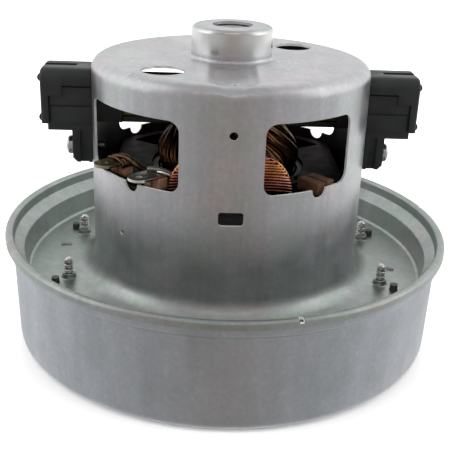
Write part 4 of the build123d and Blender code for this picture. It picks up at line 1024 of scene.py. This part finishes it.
bar_copper = metal("bar_copper", ((0.38, 0.19, 0.11), (0.58, 0.32, 0.20)), (0.22, 0.36), 300.0, (1, 1, 8))
hub_resin = plastic("hub_resin", ((0.025, 0.014, 0.009), (0.05, 0.028, 0.018)), (0.35, 0.5))
repainted(bar_copper, "commutator_bars")
repainted(hub_resin, "commutator_hub", "shaft_sleeve")

# Shaft, bearings and spacers. Ground steel, bright and finely turned, with sealed ball bearings at both
# ends.
ground_greys = ((0.52, 0.52, 0.53), (0.66, 0.66, 0.67))
ring_greys = ((0.60, 0.61, 0.62), (0.74, 0.75, 0.76))
shield_greys = ((0.72, 0.72, 0.73), (0.84, 0.84, 0.85))
ground_steel = metal("ground_steel", ground_greys, (0.16, 0.28), 500.0, (1, 1, 9))
bearing_steel = metal("bearing_steel", ring_greys, (0.18, 0.30), 260.0, metallic=0.6)
shield_steel = metal("shield_steel", shield_greys, (0.30, 0.42), 260.0, metallic=0.3)
repainted(ground_steel, "shaft", "upper_spacer", "lower_spacer", "impeller_spacer")
for end in ("upper", "lower"):
    repainted(bearing_steel, f"{end}_bearing_outer_ring", f"{end}_bearing_inner_ring")
    repainted(shield_steel, f"{end}_bearing_shields")

# Bearing bracket and diffuser. A pressed steel bracket holds the lower bearing, and a dark moulded ring
# of guide vanes under it turns the fan's air up into the motor.
bracket_steel = metal("bracket_steel", ((0.34, 0.34, 0.35), (0.48, 0.48, 0.49)), (0.3, 0.45))
diffuser_plastic = plastic("diffuser_plastic", ((0.025, 0.025, 0.027), (0.05, 0.05, 0.052)), (0.4, 0.6))
repainted(bracket_steel, "bearing_bracket", "bearing_washer")
repainted(diffuser_plastic, "diffuser")

# Brush holders. Black mouldings of glass-filled plastic that stand through the can's wall, each screwed
# to the wall by its foot.
black_plastic = plastic(
    "black_plastic",
    ((0.009, 0.011, 0.011), (0.015, 0.018, 0.017)),
    (0.36, 0.5),
    180.0,
    grain=(2400.0, 3.0, 0.3, 0.00005),
    specular=0.32,
)
rail_start = 17.6 * MM
rail_end = 31.7 * MM
rail_middle = 66.55 * MM
rail_section = rectangle(9.2 * MM, 1.9 * MM, 0.4 * MM)
for side, angle in (("left", -90), ("right", 90)):
    holder = f"brush_holder_{side}"
    moulding = dressed(holder, f"holder_moulding_{side}", None, None, black_plastic, 0.25 * MM)
    rail = bar_mesh("rail", [prism(rail_section, angle, rail_start, rail_end, rail_middle)])
    rail.data.materials.append(black_plastic)
    placed(smoothed(joined(moulding, rail)), "root", "black_plastic", holder)

# Holder screws. Two zinc-plated pan-head screws with a cross slot, that go through the holders' feet
# into the can's wall.
screw_zinc = metal("screw_zinc", ((0.50, 0.50, 0.49), (0.72, 0.72, 0.70)), (0.2, 0.34), 500.0)
slot_depth = 1.1 * MM
screws = dressed("brush_holder_screws", "holder_screws", None, None, screw_zinc, 0)
head_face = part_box("brush_holder_screws")[1][0]
arm = 1.6 * MM
half = 0.33 * MM
cross = [(half, -arm), (half, -half), (arm, -half), (arm, half), (half, half), (half, arm)]
cross += [(-across, -up) for across, up in cross]
slot_span = (head_face - slot_depth, head_face + slot_depth)
cuts = [prism(cross, side, *slot_span, foot_screw_level) for side in (-90, 90)]
placed(smoothed(cut(screws, cuts)), "root", "screw_zinc", "brush_holder_screws")

# Brush gear. A brass tube guides each carbon brush, a steel spring presses it onto the commutator, and a
# brass terminal leads the current out.
tube_brass = metal("tube_brass", ((0.09, 0.065, 0.03), (0.17, 0.13, 0.06)), (0.32, 0.46))
spring_steel = metal("spring_steel", ((0.40, 0.40, 0.41), (0.56, 0.56, 0.57)), (0.2, 0.32))
carbon_black = plastic("carbon_black", ((0.012, 0.012, 0.012), (0.028, 0.028, 0.028)), (0.5, 0.7))
for side in ("left", "right"):
    repainted(tube_brass, f"brush_tube_{side}", f"brush_terminal_{side}")
    repainted(spring_steel, f"brush_spring_{side}")
    repainted(carbon_black, f"carbon_brush_{side}")

# Flange screws. Four zinc-plated machine screws come up from the diffuser through the can's collars, and
# their threaded ends stand in the trough.
thread_radius = 1.47 * MM
thread_core = 1.2 * MM
thread_wire = 0.17 * MM
thread_pitch = 0.55 * MM
screw_tip = 27.0 * MM
screw_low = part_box("flange_screws")[0][2]
screw_seat = screw_low + 2.2 * MM
screw_head = 2.9 * MM

thread_tree = tree_of(
    "rolled_thread",
    [("Turns", "Float"), ("Radius", "Float"), ("Height", "Float"), ("Wire", "Float")],
    [
        ("helix", "GeometryNodeCurveSpiral", {},
         {"Resolution": 18, "Rotations": ("sizes", "Turns"), "Start Radius": ("sizes", "Radius"),
          "End Radius": ("sizes", "Radius"), "Height": ("sizes", "Height")}),
        ("section", "GeometryNodeCurvePrimitiveCircle", {},
         {"Resolution": 5, "Radius": ("sizes", "Wire")}),
        ("swept", "GeometryNodeCurveToMesh", {},
         {"Curve": ("helix", "Curve"), "Profile Curve": ("section", "Curve"), "Fill Caps": True}),
        ("real", "GeometryNodeRealizeInstances", {}, {"Geometry": ("swept", "Mesh")}),
        ("painted", "GeometryNodeSetMaterial", {}, {"Geometry": ("real", "Geometry")}),
    ],
)
thread_low = screw_seat + 1.0 * MM
thread_height = screw_tip - 0.5 * MM - thread_low
thread_sizes = {
    "Turns": thread_height / thread_pitch,
    "Radius": thread_radius - thread_wire,
    "Height": thread_height,
    "Wire": thread_wire,
}
core_path = [
    (0, screw_low),
    (screw_head - 0.3 * MM, screw_low),
    (screw_head, screw_low + 0.3 * MM),
    (screw_head, screw_seat),
    (thread_core, screw_seat),
    (thread_core, screw_tip - 0.4 * MM),
    (0.8 * MM, screw_tip),
    (0, screw_tip),
]
screw_parts = []
for angle in screw_angles:
    place = spot(angle, screw_circle)
    thread = grown("thread", thread_tree, thread_sizes, screw_zinc)
    thread.data.transform(Matrix.Translation((*place, thread_low)))
    core = turned("screw", core_path, 32, place)
    core.data.materials.append(screw_zinc)
    screw_parts.extend([core, thread])
flange_screws = joined(*screw_parts)
flange_screws.name = "flange_screw_set"
placed(smoothed(flange_screws, 40), "root", "screw_zinc", "flange_screws")

# Impeller. Two pressed aluminium discs with riveted curved blades between them, clamped on the shaft by
# a washer and a nut.
fan_aluminium = metal("fan_aluminium", ((0.62, 0.63, 0.64), (0.74, 0.75, 0.76)), (0.3, 0.45), 90.0)
nut_zinc = metal("nut_zinc", ((0.46, 0.47, 0.46), (0.64, 0.65, 0.63)), (0.22, 0.36), 420.0)
repainted(fan_aluminium, "impeller_back_plate", "impeller_front_plate", "impeller_blades")
repainted(nut_zinc, "impeller_washer", "impeller_nut")

# Fan cover. A drawn steel cup round the fan, held under the can's rolled rim, with the air inlet's
# turned-in lip in its bottom.
inlet_radius = 19.0 * MM
inlet_lip = 4.6 * MM
cover_foot = 64.6 * MM
cover_wall = 65.3 * MM
cover_hem = 66.675 * MM
cover_path = rounded(
    [
        (inlet_radius, inlet_lip, 0),
        (inlet_radius, 0, 2.2 * MM),
        (cover_foot, 0, 3.0 * MM),
        (cover_wall, 28.3 * MM, 0.8 * MM),
        (cover_hem, 29.8 * MM, 1.0 * MM),
        (cover_hem, 32.95 * MM, 0),
    ]
)
cover_path = divided(cover_path, step=5.0 * MM, fine_step=5.0 * MM, fine_above=0)
cover = turned("cover_drawing", walled(cover_path, sheet))
smoothed(cover)
cover_steel = zinc_steel(
    "cover_steel",
    ((0.50, 0.53, 0.555), (0.53, 0.555, 0.59), (0.525, 0.545, 0.58)),
    (0.40, 0.52),
    (160.0, 160.0, 25.0),
)
cover.data.materials.append(cover_steel)
placed(cover, "root", "cover_steel", "fan_cover")
